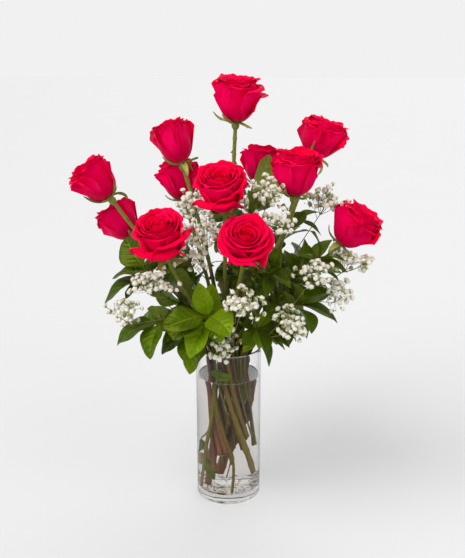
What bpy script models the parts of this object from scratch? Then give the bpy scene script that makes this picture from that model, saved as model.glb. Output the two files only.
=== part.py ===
"""A dozen red roses with greens and baby's breath in a clear glass cylinder vase.

Origin: middle of the vase's flat underside, +Z up, the front of the bouquet towards -Y.
Every flower, spray and the vase is one named object. Sprays stand in a twisted bunch in the
neck of the vase, as a hand-tied bouquet does, and nothing touches: GAP is left all round.
"""
import math
from dataclasses import dataclass, field

import bpy
import numpy as np

# ---- driving dimensions, metres -------------------------------------------------------------
GAP = 0.0003
VASE_RADIUS = 0.051
VASE_HEIGHT = 0.250
WALL = 0.003
FOOT = 0.014
WATER_TOP = 0.204
INNER_RADIUS = VASE_RADIUS - WALL
NECK_HEIGHT = 0.238
CELL_SPACING = 0.0103
CELL_REACH = 0.0345
TWIST_DEGREES = 98.0
FOOT_SPREAD = 1.22
ROSE_CUTS = (0.004, 0.085)
GREEN_CUTS = (0.050, 0.100)
ROSE_STEM = 0.0028
GREEN_STEM = 0.0017
BREATH_STEM = 0.0012
CALYX_LENGTH = 0.0135
ROUTE_POINTS = 32
ROUTE_BENDS = (0, 5, 10, 15, 20, 25, 30, 31)
ROUTE_CLEARANCE = 0.0080
LEAF_THICKNESS = 0.0012
PETIOLE = 0.0009
LEAF_MARGIN = 0.0030

UP = np.array([0.0, 0.0, 1.0])


@dataclass
class Rose:
    """One rose: middle of its head, the way the head faces, its radius and its height."""
    centre: tuple
    facing: tuple
    radius: float
    height: float


@dataclass
class Spray:
    """One leafy spray: its stem's tip, and the tip, length and half width of each leaf."""
    tip: tuple
    heading: tuple
    leaves: list
    pointed: float = 0.8


@dataclass
class Breath:
    """One stem of baby's breath: the middles and radii of its clouds of blossom."""
    clouds: list = field(default_factory=list)


ROSES = [
    Rose((0.013, 0.000, 0.625), (0.06, -0.16, 1.0), 0.0335, 0.062),
    Rose((-0.079, 0.020, 0.562), (-0.32, 0.02, 1.0), 0.0300, 0.062),
    Rose((0.140, 0.030, 0.567), (0.38, -0.05, 1.0), 0.0325, 0.058),
    Rose((-0.191, -0.020, 0.511), (-0.62, -0.05, 0.85), 0.0310, 0.060),
    Rose((-0.076, 0.070, 0.497), (-0.25, 0.35, 0.90), 0.0310, 0.058),
    Rose((-0.009, -0.090, 0.507), (-0.10, -0.50, 0.85), 0.0325, 0.062),
    Rose((0.053, 0.090, 0.519), (0.10, 0.30, 0.95), 0.0310, 0.058),
    Rose((0.099, -0.030, 0.523), (0.10, -0.16, 1.0), 0.0330, 0.064),
    Rose((-0.165, 0.030, 0.441), (-0.60, 0.20, 0.70), 0.0300, 0.056),
    Rose((-0.090, -0.110, 0.445), (-0.15, -0.50, 0.85), 0.0330, 0.064),
    Rose((0.024, -0.130, 0.443), (0.05, -0.66, 0.72), 0.0325, 0.055),
    Rose((0.184, -0.030, 0.444), (0.62, -0.12, 0.78), 0.0325, 0.062),
]

SALAL = [
    Spray((-0.120, -0.050, 0.385), (-0.8, -0.3, 0.5), [
        (-0.172, -0.040, 0.372, 0.058, 0.019), (-0.100, -0.030, 0.372, 0.060, 0.021),
        (-0.185, -0.060, 0.335, 0.088, 0.024), (-0.065, -0.020, 0.335, 0.060, 0.022),
        (-0.140, -0.085, 0.350, 0.062, 0.022), (-0.130, 0.010, 0.410, 0.062, 0.023),
        (-0.085, -0.060, 0.402, 0.050, 0.018)]),
    Spray((-0.100, -0.070, 0.312), (-0.9, -0.4, 0.1), [
        (-0.180, -0.070, 0.285, 0.076, 0.021), (-0.100, -0.060, 0.255, 0.058, 0.020),
        (-0.145, -0.020, 0.300, 0.070, 0.023), (-0.120, -0.110, 0.272, 0.060, 0.020),
        (-0.072, -0.085, 0.338, 0.054, 0.019), (-0.090, -0.015, 0.275, 0.058, 0.020)]),
    Spray((-0.030, -0.100, 0.330), (-0.3, -0.9, 0.2), [
        (-0.100, -0.130, 0.312, 0.066, 0.020), (-0.092, -0.112, 0.290, 0.062, 0.020),
        (-0.008, -0.150, 0.308, 0.058, 0.023), (-0.062, -0.118, 0.252, 0.066, 0.018),
        (-0.045, -0.112, 0.392, 0.056, 0.015), (-0.012, -0.128, 0.352, 0.050, 0.017),
        (0.022, -0.118, 0.282, 0.056, 0.018)]),
    Spray((0.035, 0.020, 0.492), (0.1, 0.1, 1.0), [
        (0.062, 0.020, 0.548, 0.078, 0.027), (-0.052, 0.000, 0.497, 0.070, 0.024),
        (0.030, -0.020, 0.472, 0.060, 0.021), (0.085, 0.050, 0.470, 0.070, 0.024),
        (0.000, 0.075, 0.480, 0.074, 0.025), (0.075, -0.010, 0.500, 0.060, 0.020)]),
    Spray((-0.105, 0.060, 0.400), (-0.6, 0.6, 0.6), [
        (-0.100, 0.000, 0.475, 0.072, 0.023), (-0.160, 0.085, 0.405, 0.072, 0.024),
        (-0.080, 0.125, 0.400, 0.072, 0.025), (-0.150, 0.050, 0.345, 0.070, 0.023),
        (-0.090, 0.110, 0.330, 0.076, 0.024), (-0.112, 0.030, 0.330, 0.068, 0.021)]),
    Spray((0.030, 0.125, 0.375), (0.2, 0.9, 0.5), [
        (-0.030, 0.150, 0.385, 0.072, 0.024), (0.085, 0.150, 0.390, 0.072, 0.024),
        (0.030, 0.185, 0.360, 0.072, 0.024), (-0.010, 0.130, 0.305, 0.078, 0.025),
        (0.070, 0.120, 0.300, 0.076, 0.023), (0.030, 0.105, 0.268, 0.064, 0.020)]),
    Spray((0.120, 0.050, 0.350), (0.9, 0.5, 0.3), [
        (0.180, 0.040, 0.355, 0.072, 0.022), (0.140, 0.110, 0.350, 0.074, 0.024),
        (0.150, 0.020, 0.295, 0.076, 0.022), (0.125, 0.080, 0.285, 0.072, 0.023),
        (0.110, 0.020, 0.400, 0.062, 0.020), (0.080, 0.070, 0.272, 0.058, 0.019)]),
]

RUSCUS = [
    Spray((0.135, -0.050, 0.410), (0.6, -0.3, 0.7), [
        (0.115, -0.070, 0.448, 0.050, 0.011), (0.150, -0.062, 0.428, 0.052, 0.011),
        (0.175, -0.035, 0.398, 0.056, 0.012), (0.162, -0.070, 0.372, 0.056, 0.012),
        (0.085, -0.112, 0.422, 0.058, 0.012), (0.105, -0.100, 0.382, 0.054, 0.012)], 1.1),
    Spray((0.100, -0.060, 0.335), (0.8, -0.5, 0.2), [
        (0.085, -0.122, 0.328, 0.066, 0.020), (0.065, -0.105, 0.283, 0.060, 0.014),
        (0.162, -0.060, 0.292, 0.068, 0.017), (0.158, -0.040, 0.337, 0.062, 0.016),
        (0.102, -0.120, 0.367, 0.062, 0.014), (0.128, -0.105, 0.328, 0.060, 0.016),
        (0.120, -0.040, 0.288, 0.060, 0.016)], 1.0),
    Spray((0.048, -0.080, 0.305), (0.4, -0.8, 0.1), [
        (0.036, -0.112, 0.268, 0.050, 0.011), (0.066, -0.084, 0.228, 0.058, 0.010),
        (0.074, -0.108, 0.262, 0.052, 0.012), (0.012, -0.115, 0.290, 0.054, 0.013),
        (0.095, -0.060, 0.285, 0.054, 0.014), (-0.010, -0.108, 0.266, 0.050, 0.013)], 1.1),
    Spray((0.060, -0.100, 0.400), (0.2, -0.6, 0.7), [
        (0.052, -0.132, 0.362, 0.044, 0.009), (0.084, -0.126, 0.377, 0.044, 0.009),
        (0.040, -0.130, 0.392, 0.040, 0.009), (0.074, -0.118, 0.428, 0.042, 0.010),
        (0.020, -0.110, 0.372, 0.048, 0.010), (0.095, -0.095, 0.395, 0.044, 0.010),
        (0.035, -0.122, 0.345, 0.044, 0.011)], 1.1),
    Spray((0.105, 0.105, 0.430), (0.5, 0.5, 0.7), [
        (0.150, 0.110, 0.440, 0.052, 0.012), (0.095, 0.150, 0.450, 0.052, 0.012),
        (0.155, 0.090, 0.400, 0.056, 0.012), (0.110, 0.155, 0.400, 0.056, 0.012),
        (0.130, 0.065, 0.455, 0.052, 0.012)], 1.1),
]

BREATH = [
    Breath([(-0.052, -0.010, 0.462, 0.028), (-0.075, -0.035, 0.420, 0.020)]),
    Breath([(-0.030, -0.070, 0.430, 0.027), (-0.050, -0.080, 0.400, 0.020)]),
    Breath([(0.055, -0.060, 0.485, 0.027), (0.065, -0.085, 0.452, 0.018)]),
    Breath([(-0.100, -0.105, 0.362, 0.030), (-0.145, -0.085, 0.312, 0.030)]),
    Breath([(0.018, -0.130, 0.345, 0.028), (0.002, -0.090, 0.285, 0.022)]),
    Breath([(0.085, -0.120, 0.312, 0.024), (0.122, -0.090, 0.385, 0.020)]),
    Breath([(0.178, -0.025, 0.380, 0.028), (0.158, -0.050, 0.335, 0.026)]),
    Breath([(0.142, -0.008, 0.468, 0.022), (0.020, 0.060, 0.450, 0.026)]),
    Breath([(-0.060, 0.125, 0.440, 0.028), (0.080, 0.150, 0.330, 0.026)]),
]
BREATH_KNOTS = (7, 5)
KNOT_RADIUS = 0.0060
LARGEST_BALL = 0.0065
VASE_OWNER = -2

CRIMSON = (0.62, 0.004, 0.020)
SEPAL_GREEN = (0.12, 0.20, 0.05)
STEM_BROWN = (0.10, 0.065, 0.035)
LEAF_GREEN = (0.035, 0.12, 0.022)
RUSCUS_GREEN = (0.022, 0.085, 0.020)
BLOSSOM_WHITE = (0.86, 0.87, 0.78)
CLEAR = (0.92, 0.96, 0.95)


# ---- small vector tools ---------------------------------------------------------------------
def unit(vector):
    """The vector at length one."""
    vector = np.asarray(vector, float)
    return vector / np.linalg.norm(vector)


def square_to(axis, hint):
    """A unit vector square to the axis, as near to the hint as it can be."""
    axis = unit(axis)
    hint = np.asarray(hint, float)
    return unit(hint - axis * (hint @ axis))


def turned(vector, axis, degrees):
    """The vector turned about an axis, by Rodrigues' formula."""
    angle = math.radians(degrees)
    along = axis * (vector @ axis) * (1.0 - math.cos(angle))
    return vector * math.cos(angle) + np.cross(axis, vector) * math.sin(angle) + along


def spans(first, second):
    """The distance from each of the first points to each of the second."""
    squares = (first**2).sum(axis=1)[:, None] + (second**2).sum(axis=1)[None]
    return np.sqrt(np.maximum(squares - 2.0 * first @ second.T, 1e-12))


# ---- how the stems run ----------------------------------------------------------------------
def neck_cells():
    """Places for stems in the vase's neck: a triangular grid, off centre so no cell is at 0."""
    count = int(CELL_REACH / CELL_SPACING) + 2
    cells = []
    for row in range(-count, count + 1):
        for column in range(-count, count + 1):
            x = (column + 0.5 * (row % 2) + 0.27) * CELL_SPACING
            y = (row * math.sqrt(0.75) + 0.31) * CELL_SPACING
            if math.hypot(x, y) < CELL_REACH:
                cells.append((x, y))
    return np.array(cells)


def choose_cells(goals):
    """Each stem takes the free cell nearest its goal drawn in to the neck, widest goals first."""
    free = neck_cells()
    reach = np.hypot(goals[:, 0], goals[:, 1])
    chosen = np.zeros((len(goals), 2))
    for index in np.argsort(-reach, kind="stable"):
        wanted = goals[index, :2] * (CELL_REACH / reach.max())
        nearest = int(np.argmin(np.hypot(*(free - wanted).T)))
        chosen[index] = free[nearest]
        free = np.delete(free, nearest, axis=0)
    return chosen


def hermite(start, start_pull, end, end_pull, count):
    """Points on the cubic that leaves start along start_pull and reaches end along end_pull."""
    t = np.linspace(0.0, 1.0, count)[:, None]
    return ((2 * t**3 - 3 * t**2 + 1) * start + (t**3 - 2 * t**2 + t) * start_pull
            + (3 * t**2 - 2 * t**3) * end + (t**3 - t**2) * end_pull)


def stem_foot(cell):
    """Where a neck cell's stem meets the vase's floor: the bunch is twisted and spread."""
    turn = math.radians(TWIST_DEGREES)
    x = (math.cos(turn) * cell[0] - math.sin(turn) * cell[1]) * FOOT_SPREAD
    y = (math.sin(turn) * cell[0] + math.cos(turn) * cell[1]) * FOOT_SPREAD
    return np.array([x, y, FOOT])


def ease_apart(routes, radii, heads):
    """Push the routes off each other and off the rose heads, with both ends of each held."""
    owner = np.repeat(np.arange(len(routes)), ROUTE_POINTS)
    reach = np.maximum(radii[owner][:, None] + radii[owner][None] + 0.0015, ROUTE_CLEARANCE)
    others = owner[:, None] != owner[None]
    for _ in range(70):
        points = routes.reshape(-1, 3)
        distance = spans(points, points)
        push = np.where(others & (distance < reach), 0.5 * (reach - distance) / distance, 0.0)
        shift = np.clip(points * push.sum(axis=1)[:, None] - push @ points, -0.004, 0.004)
        for centre, radius in heads:
            away = points - centre
            span = np.sqrt((away**2).sum(axis=1))[:, None] + 1e-9
            shift += away / span * np.clip(radius + 0.006 - span, 0.0, 0.003)
        moved = routes + shift.reshape(routes.shape)
        smooth = 0.5 * (moved[:, :-2] + moved[:, 2:])
        moved[:, 1:-1] = 0.75 * moved[:, 1:-1] + 0.25 * smooth
        routes[:, 2:-2] = moved[:, 2:-2]
    return routes


def straightened(route):
    """The route with straight runs between its bends, as the rods are made."""
    bends = list(ROUTE_BENDS)
    return np.stack([np.interp(np.arange(ROUTE_POINTS), bends, route[bends, axis])
                     for axis in range(3)], axis=1)


# ---- keeping clear --------------------------------------------------------------------------
class Room:
    """What is already filled, as balls with an owner each, and a test against them."""

    def __init__(self):
        self.centres = np.zeros((0, 3))
        self.radii = np.zeros(0)
        self.owners = np.zeros(0, int)

    def fill(self, centres, radius, owner):
        """Add balls of one radius."""
        self.centres = np.vstack([self.centres, centres])
        self.radii = np.append(self.radii, np.full(len(centres), radius))
        self.owners = np.append(self.owners, np.full(len(centres), owner))

    def is_clear(self, points, radius, ignore=-1):
        """Whether balls of this radius at the points touch nothing, but for one owner's."""
        low = points.min(axis=0) - radius - LARGEST_BALL
        high = points.max(axis=0) + radius + LARGEST_BALL
        near = ((self.centres > low) & (self.centres < high)).all(axis=1) & (self.owners != ignore)
        distance = spans(points, self.centres[near])
        return bool((distance > self.radii[near][None] + radius).all())


# ---- leaves ---------------------------------------------------------------------------------
LEAF_TURNS = sorted(((yaw, pitch) for yaw in range(-48, 49, 12) for pitch in range(-48, 49, 12)),
                    key=lambda turn: (turn[0] ** 2 + turn[1] ** 2, turn))
FILL_TRIES = [(scale, turn, lean) for scale in (1.0, 0.78) for turn in (0, 60, -60, 120, -120, 180)
              for lean in (0.5, -0.1, 1.0)]
FILL_SWING = 25.0
FILL_TOP = 0.43


@dataclass
class Leaf:
    """One leaf: an arched blade on a short stalk, folded up a little along its midrib."""
    base: np.ndarray
    along: np.ndarray
    normal: np.ndarray
    length: float
    half_width: float
    pointed: float
    arch: float = 0.9
    fold: float = 0.22
    stalk: float = 0.12

    def surface(self, across, run):
        """Points of the middle surface: across from -1 to 1, run from 0 at the stem to 1.

        The midrib is an arc that turns down by the arch angle in all; the half width rises
        from the stalk to its full value and closes to a point, and the sides lift by the fold.
        """
        across, run = np.broadcast_arrays(across, run)
        blade = np.clip((run - self.stalk) / (1.0 - self.stalk), 0.0, 1.0)
        width = self.half_width * (4.0 * blade * (1.0 - blade)) ** self.pointed
        width = width * (1.12 - 0.35 * blade) + PETIOLE * (1.0 - blade)
        forward = (math.sin(self.arch / 2) - np.sin(self.arch * (0.5 - run))) / self.arch
        lift = (np.cos(self.arch * (0.5 - run)) - math.cos(self.arch / 2)) / self.arch
        side = np.cross(self.along, self.normal)
        return (self.base + self.length * (forward[..., None] * self.along
                                           + lift[..., None] * self.normal)
                + (across * width)[..., None] * side
                + (np.abs(across) * width * self.fold)[..., None] * self.normal)


def rim_points():
    """Points round the top of the vase's wall, which leaves keep off."""
    turn = np.linspace(0.0, 2 * math.pi, 90, endpoint=False)
    return np.array([(VASE_RADIUS * math.cos(angle), VASE_RADIUS * math.sin(angle), height)
                     for height in np.arange(0.20, VASE_HEIGHT + 0.001, 0.005) for angle in turn])


def leaf_node(route, tip, length, used):
    """The free point of the route's upper part whose distance to the tip is nearest the length."""
    misfit = np.abs(np.linalg.norm(route - tip, axis=1) - length)
    misfit[:ROUTE_POINTS // 3] = np.inf
    misfit[used] = np.inf
    used.append(int(np.argmin(misfit)))
    return route[used[-1]]


def settle(room, leaf, owner):
    """Fill the room with the leaf if it touches nothing, and say whether it did."""
    blade = np.linspace(0.30, 1.0, 17)[:, None]
    stalk = np.linspace(0.10, 0.30, 4)[:, None]
    spots = leaf.surface(np.linspace(-1.0, 1.0, 11)[None], blade).reshape(-1, 3)
    neck = leaf.surface(np.linspace(-1.0, 1.0, 3)[None], stalk).reshape(-1, 3)
    if not (room.is_clear(spots, LEAF_MARGIN) and room.is_clear(neck, 0.0016, owner)):
        return False
    room.fill(spots, LEAF_MARGIN, owner)
    return True


def place_leaf(room, route, spec, pointed, owner, used):
    """A leaf from the route towards its wanted tip, turned or shortened until it is clear."""
    tip = np.array(spec[:3])
    base = leaf_node(route, tip, spec[3], used)
    outward = np.array([base[0] + tip[0], base[1] + tip[1], 0.0])
    along = unit(tip - base)
    normal = square_to(along, 0.9 * UP + 0.8 * unit(outward))
    side = np.cross(along, normal)
    for scale in (1.0, 0.85, 0.72):
        for yaw, pitch in LEAF_TURNS:
            heading = turned(turned(along, normal, yaw), side, pitch)
            leaf = Leaf(base, heading, square_to(heading, normal), spec[3] * scale,
                        spec[4] * scale, pointed)
            if settle(room, leaf, owner):
                return leaf
    return None


def fill_leaves(room, route, spray, owner, used):
    """Leaves at the stem's free points, spread about it as they come, wherever there is room."""
    length, half_width = np.median([spec[3:] for spec in spray.leaves], axis=0)
    leaves = []
    for point in range(ROUTE_POINTS // 4, ROUTE_POINTS - 2):
        base = route[point]
        stem = unit(route[point + 1] - route[point - 1])
        outward = square_to(stem, (base[0], base[1], 0.0))
        for scale, turn, lean in FILL_TRIES if point not in used else ():
            side = turned(outward, stem, turn + FILL_SWING * math.sin(2.4 * point))
            heading = unit(side + lean * stem)
            leaf = Leaf(base, heading, square_to(heading, 0.9 * UP + 0.5 * outward),
                        length * scale, half_width * scale, spray.pointed)
            tip = leaf.surface(np.zeros(1), np.ones(1))[0]
            if tip[2] < FILL_TOP and settle(room, leaf, owner):
                leaves.append(leaf)
                break
    return leaves


# ---- baby's breath --------------------------------------------------------------------------
def ball_points(count, centre, radius):
    """Points spread through a ball by the golden angle, the outer ones first."""
    index = np.arange(count)
    level = 1.0 - 2.0 * (index + 0.5) / count
    turn = index * math.pi * (3.0 - math.sqrt(5.0))
    reach = radius * (1.0 - 0.45 * (index % 3) / 2.0)
    flat = np.sqrt(1.0 - level**2) * reach
    return centre + np.stack([flat * np.cos(turn), flat * np.sin(turn), level * reach], axis=1)


def place_knots(room, route, cloud, wanted, owner):
    """Twigs from the route to knots of blossom in one cloud, each where there is room."""
    centre = np.array(cloud[:3])
    twigs = []
    for spot in ball_points(60, centre, cloud[3]):
        nearest = int(np.argmin(np.linalg.norm(route[6:] - spot, axis=1))) + 6
        root = route[max(nearest - 2, 6)]
        line = root + (spot - root) * np.linspace(0.08, 0.85, 14)[:, None]
        if not room.is_clear(spot[None], KNOT_RADIUS + 0.0012):
            continue
        if not room.is_clear(line, 0.0016, owner):
            continue
        room.fill(spot[None], KNOT_RADIUS, owner)
        room.fill(line[3:], 0.0006, owner)
        twigs.append((root, spot))
        if len(twigs) == wanted:
            break
    return twigs


# ---- the whole arrangement ------------------------------------------------------------------
@dataclass
class Arrangement:
    """Where every stem, leaf and knot of blossom is."""
    feet: np.ndarray
    routes: np.ndarray
    leaves: dict
    sides: dict
    twigs: dict


def side_stem(room, route, cloud, owner):
    """A side stem that leaves the route part way up, where it clears all, to another cloud."""
    end = np.array(cloud[:3])
    for fork in (16, 13, 19, 11, 21, 9, 23):
        start = route[fork]
        reach = np.linalg.norm(end - start)
        pull = unit(route[fork + 2] - route[fork - 2]) * reach * 0.8
        branch = straightened(hermite(start, pull, end, (end - start) * 0.8, ROUTE_POINTS))
        if room.is_clear(branch, 0.0012, owner):
            return branch
    return None


def arrange():
    """Lay out the bouquet: stems first, then leaves, then the baby's breath."""
    tips = []
    headings = []
    radii = []
    cuts = []
    for rose in ROSES:
        facing = unit(rose.facing)
        tips.append(np.array(rose.centre) - facing * (rose.height / 2 + CALYX_LENGTH + 2 * GAP))
        headings.append(facing)
        radii.append(ROSE_STEM)
    for spray in SALAL + RUSCUS:
        tips.append(np.array(spray.tip))
        headings.append(unit(spray.heading))
        radii.append(GREEN_STEM)
    for breath in BREATH:
        middle = np.array(breath.clouds[0][:3])
        tips.append(middle)
        headings.append(unit(middle - np.array([0.0, 0.0, 0.22])))
        radii.append(BREATH_STEM)
    tips = np.array(tips)
    radii = np.array(radii)
    cells = choose_cells(tips)
    feet = []
    routes = []
    for index, (cell, tip, heading) in enumerate(zip(cells, tips, headings)):
        neck = np.array([cell[0], cell[1], NECK_HEIGHT])
        floor = stem_foot(cell)
        rise = neck - floor
        lowest, spread = ROSE_CUTS if index < len(ROSES) else GREEN_CUTS
        cut = lowest + spread * ((index * 7) % 12) / 11.0
        feet.append(floor + rise * (cut / rise[2]))
        reach = np.linalg.norm(tip - neck)
        routes.append(hermite(neck, unit(rise) * reach * 0.85, tip, heading * reach * 0.55,
                              ROUTE_POINTS))
    heads = [(np.array(rose.centre), rose.radius + 0.002) for rose in ROSES]
    routes = ease_apart(np.array(routes), radii, heads)
    routes = np.array([straightened(route) for route in routes])

    room = Room()
    for index, route in enumerate(routes):
        room.fill(np.vstack([route, 0.5 * (route[1:] + route[:-1])]), radii[index] + 0.0012, index)
    for index, rose in enumerate(ROSES):
        room.fill(bloom_rings(rose).reshape(-1, 3), 0.0055, index)
        room.fill(calyx_rings(rose)[-3:].reshape(-1, 3), 0.0040, index)
    sides = {}
    for number, breath in enumerate(BREATH):
        owner = len(ROSES) + len(SALAL) + len(RUSCUS) + number
        sides[owner] = side_stem(room, routes[owner], breath.clouds[1], owner)
        room.fill(sides[owner], BREATH_STEM + 0.0006, owner)
    leaves = {}
    nodes = {}
    for number, spray in enumerate(SALAL + RUSCUS):
        owner = len(ROSES) + number
        nodes[owner] = []
        placed = [place_leaf(room, routes[owner], spec, spray.pointed, owner, nodes[owner])
                  for spec in spray.leaves]
        leaves[owner] = [leaf for leaf in placed if leaf]
    twigs = {}
    for number, breath in enumerate(BREATH):
        owner = len(ROSES) + len(SALAL) + len(RUSCUS) + number
        branches = [routes[owner], sides[owner]]
        twigs[owner] = [place_knots(room, branch, cloud, wanted, owner)
                        for branch, cloud, wanted in zip(branches, breath.clouds, BREATH_KNOTS)]
    room.fill(rim_points(), LEAF_MARGIN, VASE_OWNER)
    for number, spray in enumerate(SALAL + RUSCUS):
        owner = len(ROSES) + number
        leaves[owner] += fill_leaves(room, routes[owner], spray, owner, nodes[owner])
    return Arrangement(np.array(feet), routes, leaves, sides, twigs)


# ---- rings that make the flower heads -------------------------------------------------------
def flower_axes(rose):
    """The head's own axes: two across it and one the way it faces."""
    facing = unit(rose.facing)
    first = square_to(facing, (1.0, 0.2, 0.0))
    return first, np.cross(facing, first), facing


BLOOM_PROFILE = [(0.27, 0.0), (0.66, 0.12), (0.93, 0.36), (0.92, 0.66), (1.04, 0.90),
                 (0.82, 0.985), (0.48, 1.0), (0.20, 0.93)]
BLOOM_SIDES = 12


def bloom_rings(rose):
    """Rings of the closed head from its base up: a cup whose rim has five soft lobes."""
    first, second, facing = flower_axes(rose)
    turn = np.linspace(0.0, 2 * math.pi, BLOOM_SIDES, endpoint=False)
    base = np.array(rose.centre) - facing * rose.height / 2
    rings = []
    for radius, height in BLOOM_PROFILE:
        lobed = rose.radius * radius * (1.0 + 0.07 * height * np.cos(5 * turn + rose.radius * 900))
        rings.append(base + np.outer(lobed * np.cos(turn), first)
                     + np.outer(lobed * np.sin(turn), second) + facing * rose.height * height)
    return np.array(rings)


CALYX_SIDES = 15


def calyx_rings(rose):
    """Rings of the hip and its five sepals, which spread and curl down under the head."""
    first, second, facing = flower_axes(rose)
    turn = np.arange(CALYX_SIDES) * 2 * math.pi / CALYX_SIDES
    sepal = (np.arange(CALYX_SIDES) % 3 == 0).astype(float)
    foot = np.array(rose.centre) - facing * (rose.height / 2 + GAP + CALYX_LENGTH)
    plain = [(0.0030, 0.0), (0.0056, 0.0045), (0.0050, 0.0100)]
    rings = []
    for radius, height in plain:
        rings.append(ring_about(foot + facing * height, first, second, turn, radius, facing, 0.0))
    droop = -0.0030 * sepal
    rings.append(ring_about(foot + facing * 0.0112, first, second, turn,
                            0.0064 + 0.0150 * sepal, facing, droop))
    rings.append(ring_about(foot + facing * 0.0128, first, second, turn,
                            0.0064 + 0.0150 * sepal, facing, droop - 0.0006 * sepal))
    rings.append(ring_about(foot + facing * CALYX_LENGTH, first, second, turn,
                            0.0050, facing, 0.0))
    return np.array(rings)


def ring_about(middle, first, second, turn, radius, facing, rise):
    """Points round a middle, each at its own radius and its own rise along the axis."""
    radius = np.broadcast_to(radius, turn.shape)
    rise = np.broadcast_to(rise, turn.shape)
    return (middle + np.outer(radius * np.cos(turn), first)
            + np.outer(radius * np.sin(turn), second) + np.outer(rise, facing))


# ---- meshes ---------------------------------------------------------------------------------
def loft(rings):
    """A closed skin over the rings, with a fan of triangles over each end."""
    rings = np.asarray(rings, float)
    count, sides = rings.shape[:2]
    points = np.vstack([rings.reshape(-1, 3), rings[0].mean(axis=0), rings[-1].mean(axis=0)])
    faces = []
    for row in range(count - 1):
        for side in range(sides):
            after = (side + 1) % sides
            faces.append((row * sides + side, row * sides + after,
                          (row + 1) * sides + after, (row + 1) * sides + side))
    top = (count - 1) * sides
    for side in range(sides):
        after = (side + 1) % sides
        faces.append((count * sides, after, side))
        faces.append((count * sides + 1, top + side, top + after))
    return points, faces


def tube(path, radius, sides):
    """A closed round rod along a path, its ring turned as little as possible on the way."""
    path = np.asarray(path, float)
    tangents = np.gradient(path, axis=0)
    first = square_to(tangents[0], (0.3, 1.0, 0.1))
    turn = np.arange(sides) * 2 * math.pi / sides
    rings = []
    for point, tangent, size in zip(path, tangents, np.broadcast_to(radius, len(path))):
        first = square_to(tangent, first)
        second = np.cross(unit(tangent), first)
        rings.append(point + size * (np.outer(np.cos(turn), first)
                                     + np.outer(np.sin(turn), second)))
    return loft(rings)


def leaf_skin(leaf):
    """A closed leaf: a ring of four points at each step, thick at the midrib, thin at the edge."""
    runs = np.array([0.0, 0.12, 0.30, 0.56, 0.82, 0.985])
    rings = []
    for run in runs:
        left, middle, right = leaf.surface(np.array([-1.0, 0.0, 1.0]), run)
        half = leaf.normal * LEAF_THICKNESS * (0.9 if run < 0.2 else 0.5)
        rings.append([left, middle + half, right, middle - half])
    return loft(np.array(rings)[:, ::-1])


def knot_skin(centre, radius):
    """A knot of blossom: a small ball of eight faces."""
    points = centre + radius * np.array([(1, 0, 0), (0, 1, 0), (-1, 0, 0), (0, -1, 0),
                                         (0, 0, 1), (0, 0, -1)])
    faces = []
    for side in range(4):
        after = (side + 1) % 4
        faces.append((side, after, 4))
        faces.append((after, side, 5))
    return points, faces


def material(name, colour, roughness, alpha=1.0, transmission=0.0):
    """A Principled material of one colour."""
    made = bpy.data.materials.new(name)
    made.use_nodes = True
    shader = made.node_tree.nodes["Principled BSDF"]
    shader.inputs["Base Color"].default_value = (*colour, 1.0)
    shader.inputs["Roughness"].default_value = roughness
    shader.inputs["Metallic"].default_value = 0.0
    shader.inputs["Alpha"].default_value = alpha
    shader.inputs["Transmission Weight"].default_value = transmission
    return made


def add_object(name, skin, finish):
    """A named object from points and faces."""
    points, faces = skin
    mesh = bpy.data.meshes.new(name)
    mesh.from_pydata([tuple(point) for point in points], [], faces)
    mesh.materials.append(finish)
    mesh.shade_smooth()
    mesh.set_sharp_from_angle(angle=math.radians(40.0))
    obj = bpy.data.objects.new(name, mesh)
    bpy.context.scene.collection.objects.link(obj)
    return obj


def combine(obj, skins, operation):
    """Join the skins to an object, or cut them from it, as one exact Boolean."""
    group = bpy.data.collections.new(obj.name + "_tools")
    bpy.context.scene.collection.children.link(group)
    for number, skin in enumerate(skins):
        tool = add_object(f"{obj.name}_tool_{number}", skin, obj.data.materials[0])
        bpy.context.scene.collection.objects.unlink(tool)
        group.objects.link(tool)
    cut = obj.modifiers.new("combine", "BOOLEAN")
    cut.operation = operation
    cut.solver = "EXACT"
    cut.operand_type = "COLLECTION"
    cut.collection = group
    graph = bpy.context.evaluated_depsgraph_get()
    result = bpy.data.meshes.new_from_object(obj.evaluated_get(graph))
    obj.modifiers.clear()
    obj.data = result
    for tool in list(group.objects):
        bpy.data.objects.remove(tool)
    bpy.data.collections.remove(group)
    return obj


# ---- the pieces -----------------------------------------------------------------------------
def build_vase(finish):
    """The glass: a turned cylinder with a thick flat foot and a rounded rim."""
    outer = VASE_RADIUS
    inner = INNER_RADIUS
    top = VASE_HEIGHT
    lip = WALL / 2
    profile = [(outer * 0.5, 0.0), (outer - 0.0015, 0.0), (outer, 0.0015), (outer, top - lip),
               (outer - 0.0005, top - 0.0005), (outer - lip, top), (inner + 0.0005, top - 0.0005),
               (inner, top - lip), (inner, FOOT + 0.004), (inner - 0.0013, FOOT + 0.0012),
               (inner - 0.0045, FOOT), (inner * 0.5, FOOT)]
    turn = np.arange(40) * 2 * math.pi / 40
    rings = [np.stack([radius * np.cos(turn), radius * np.sin(turn), np.full(40, height)], axis=1)
             for radius, height in profile]
    return add_object("vase", loft(rings), finish)


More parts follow.
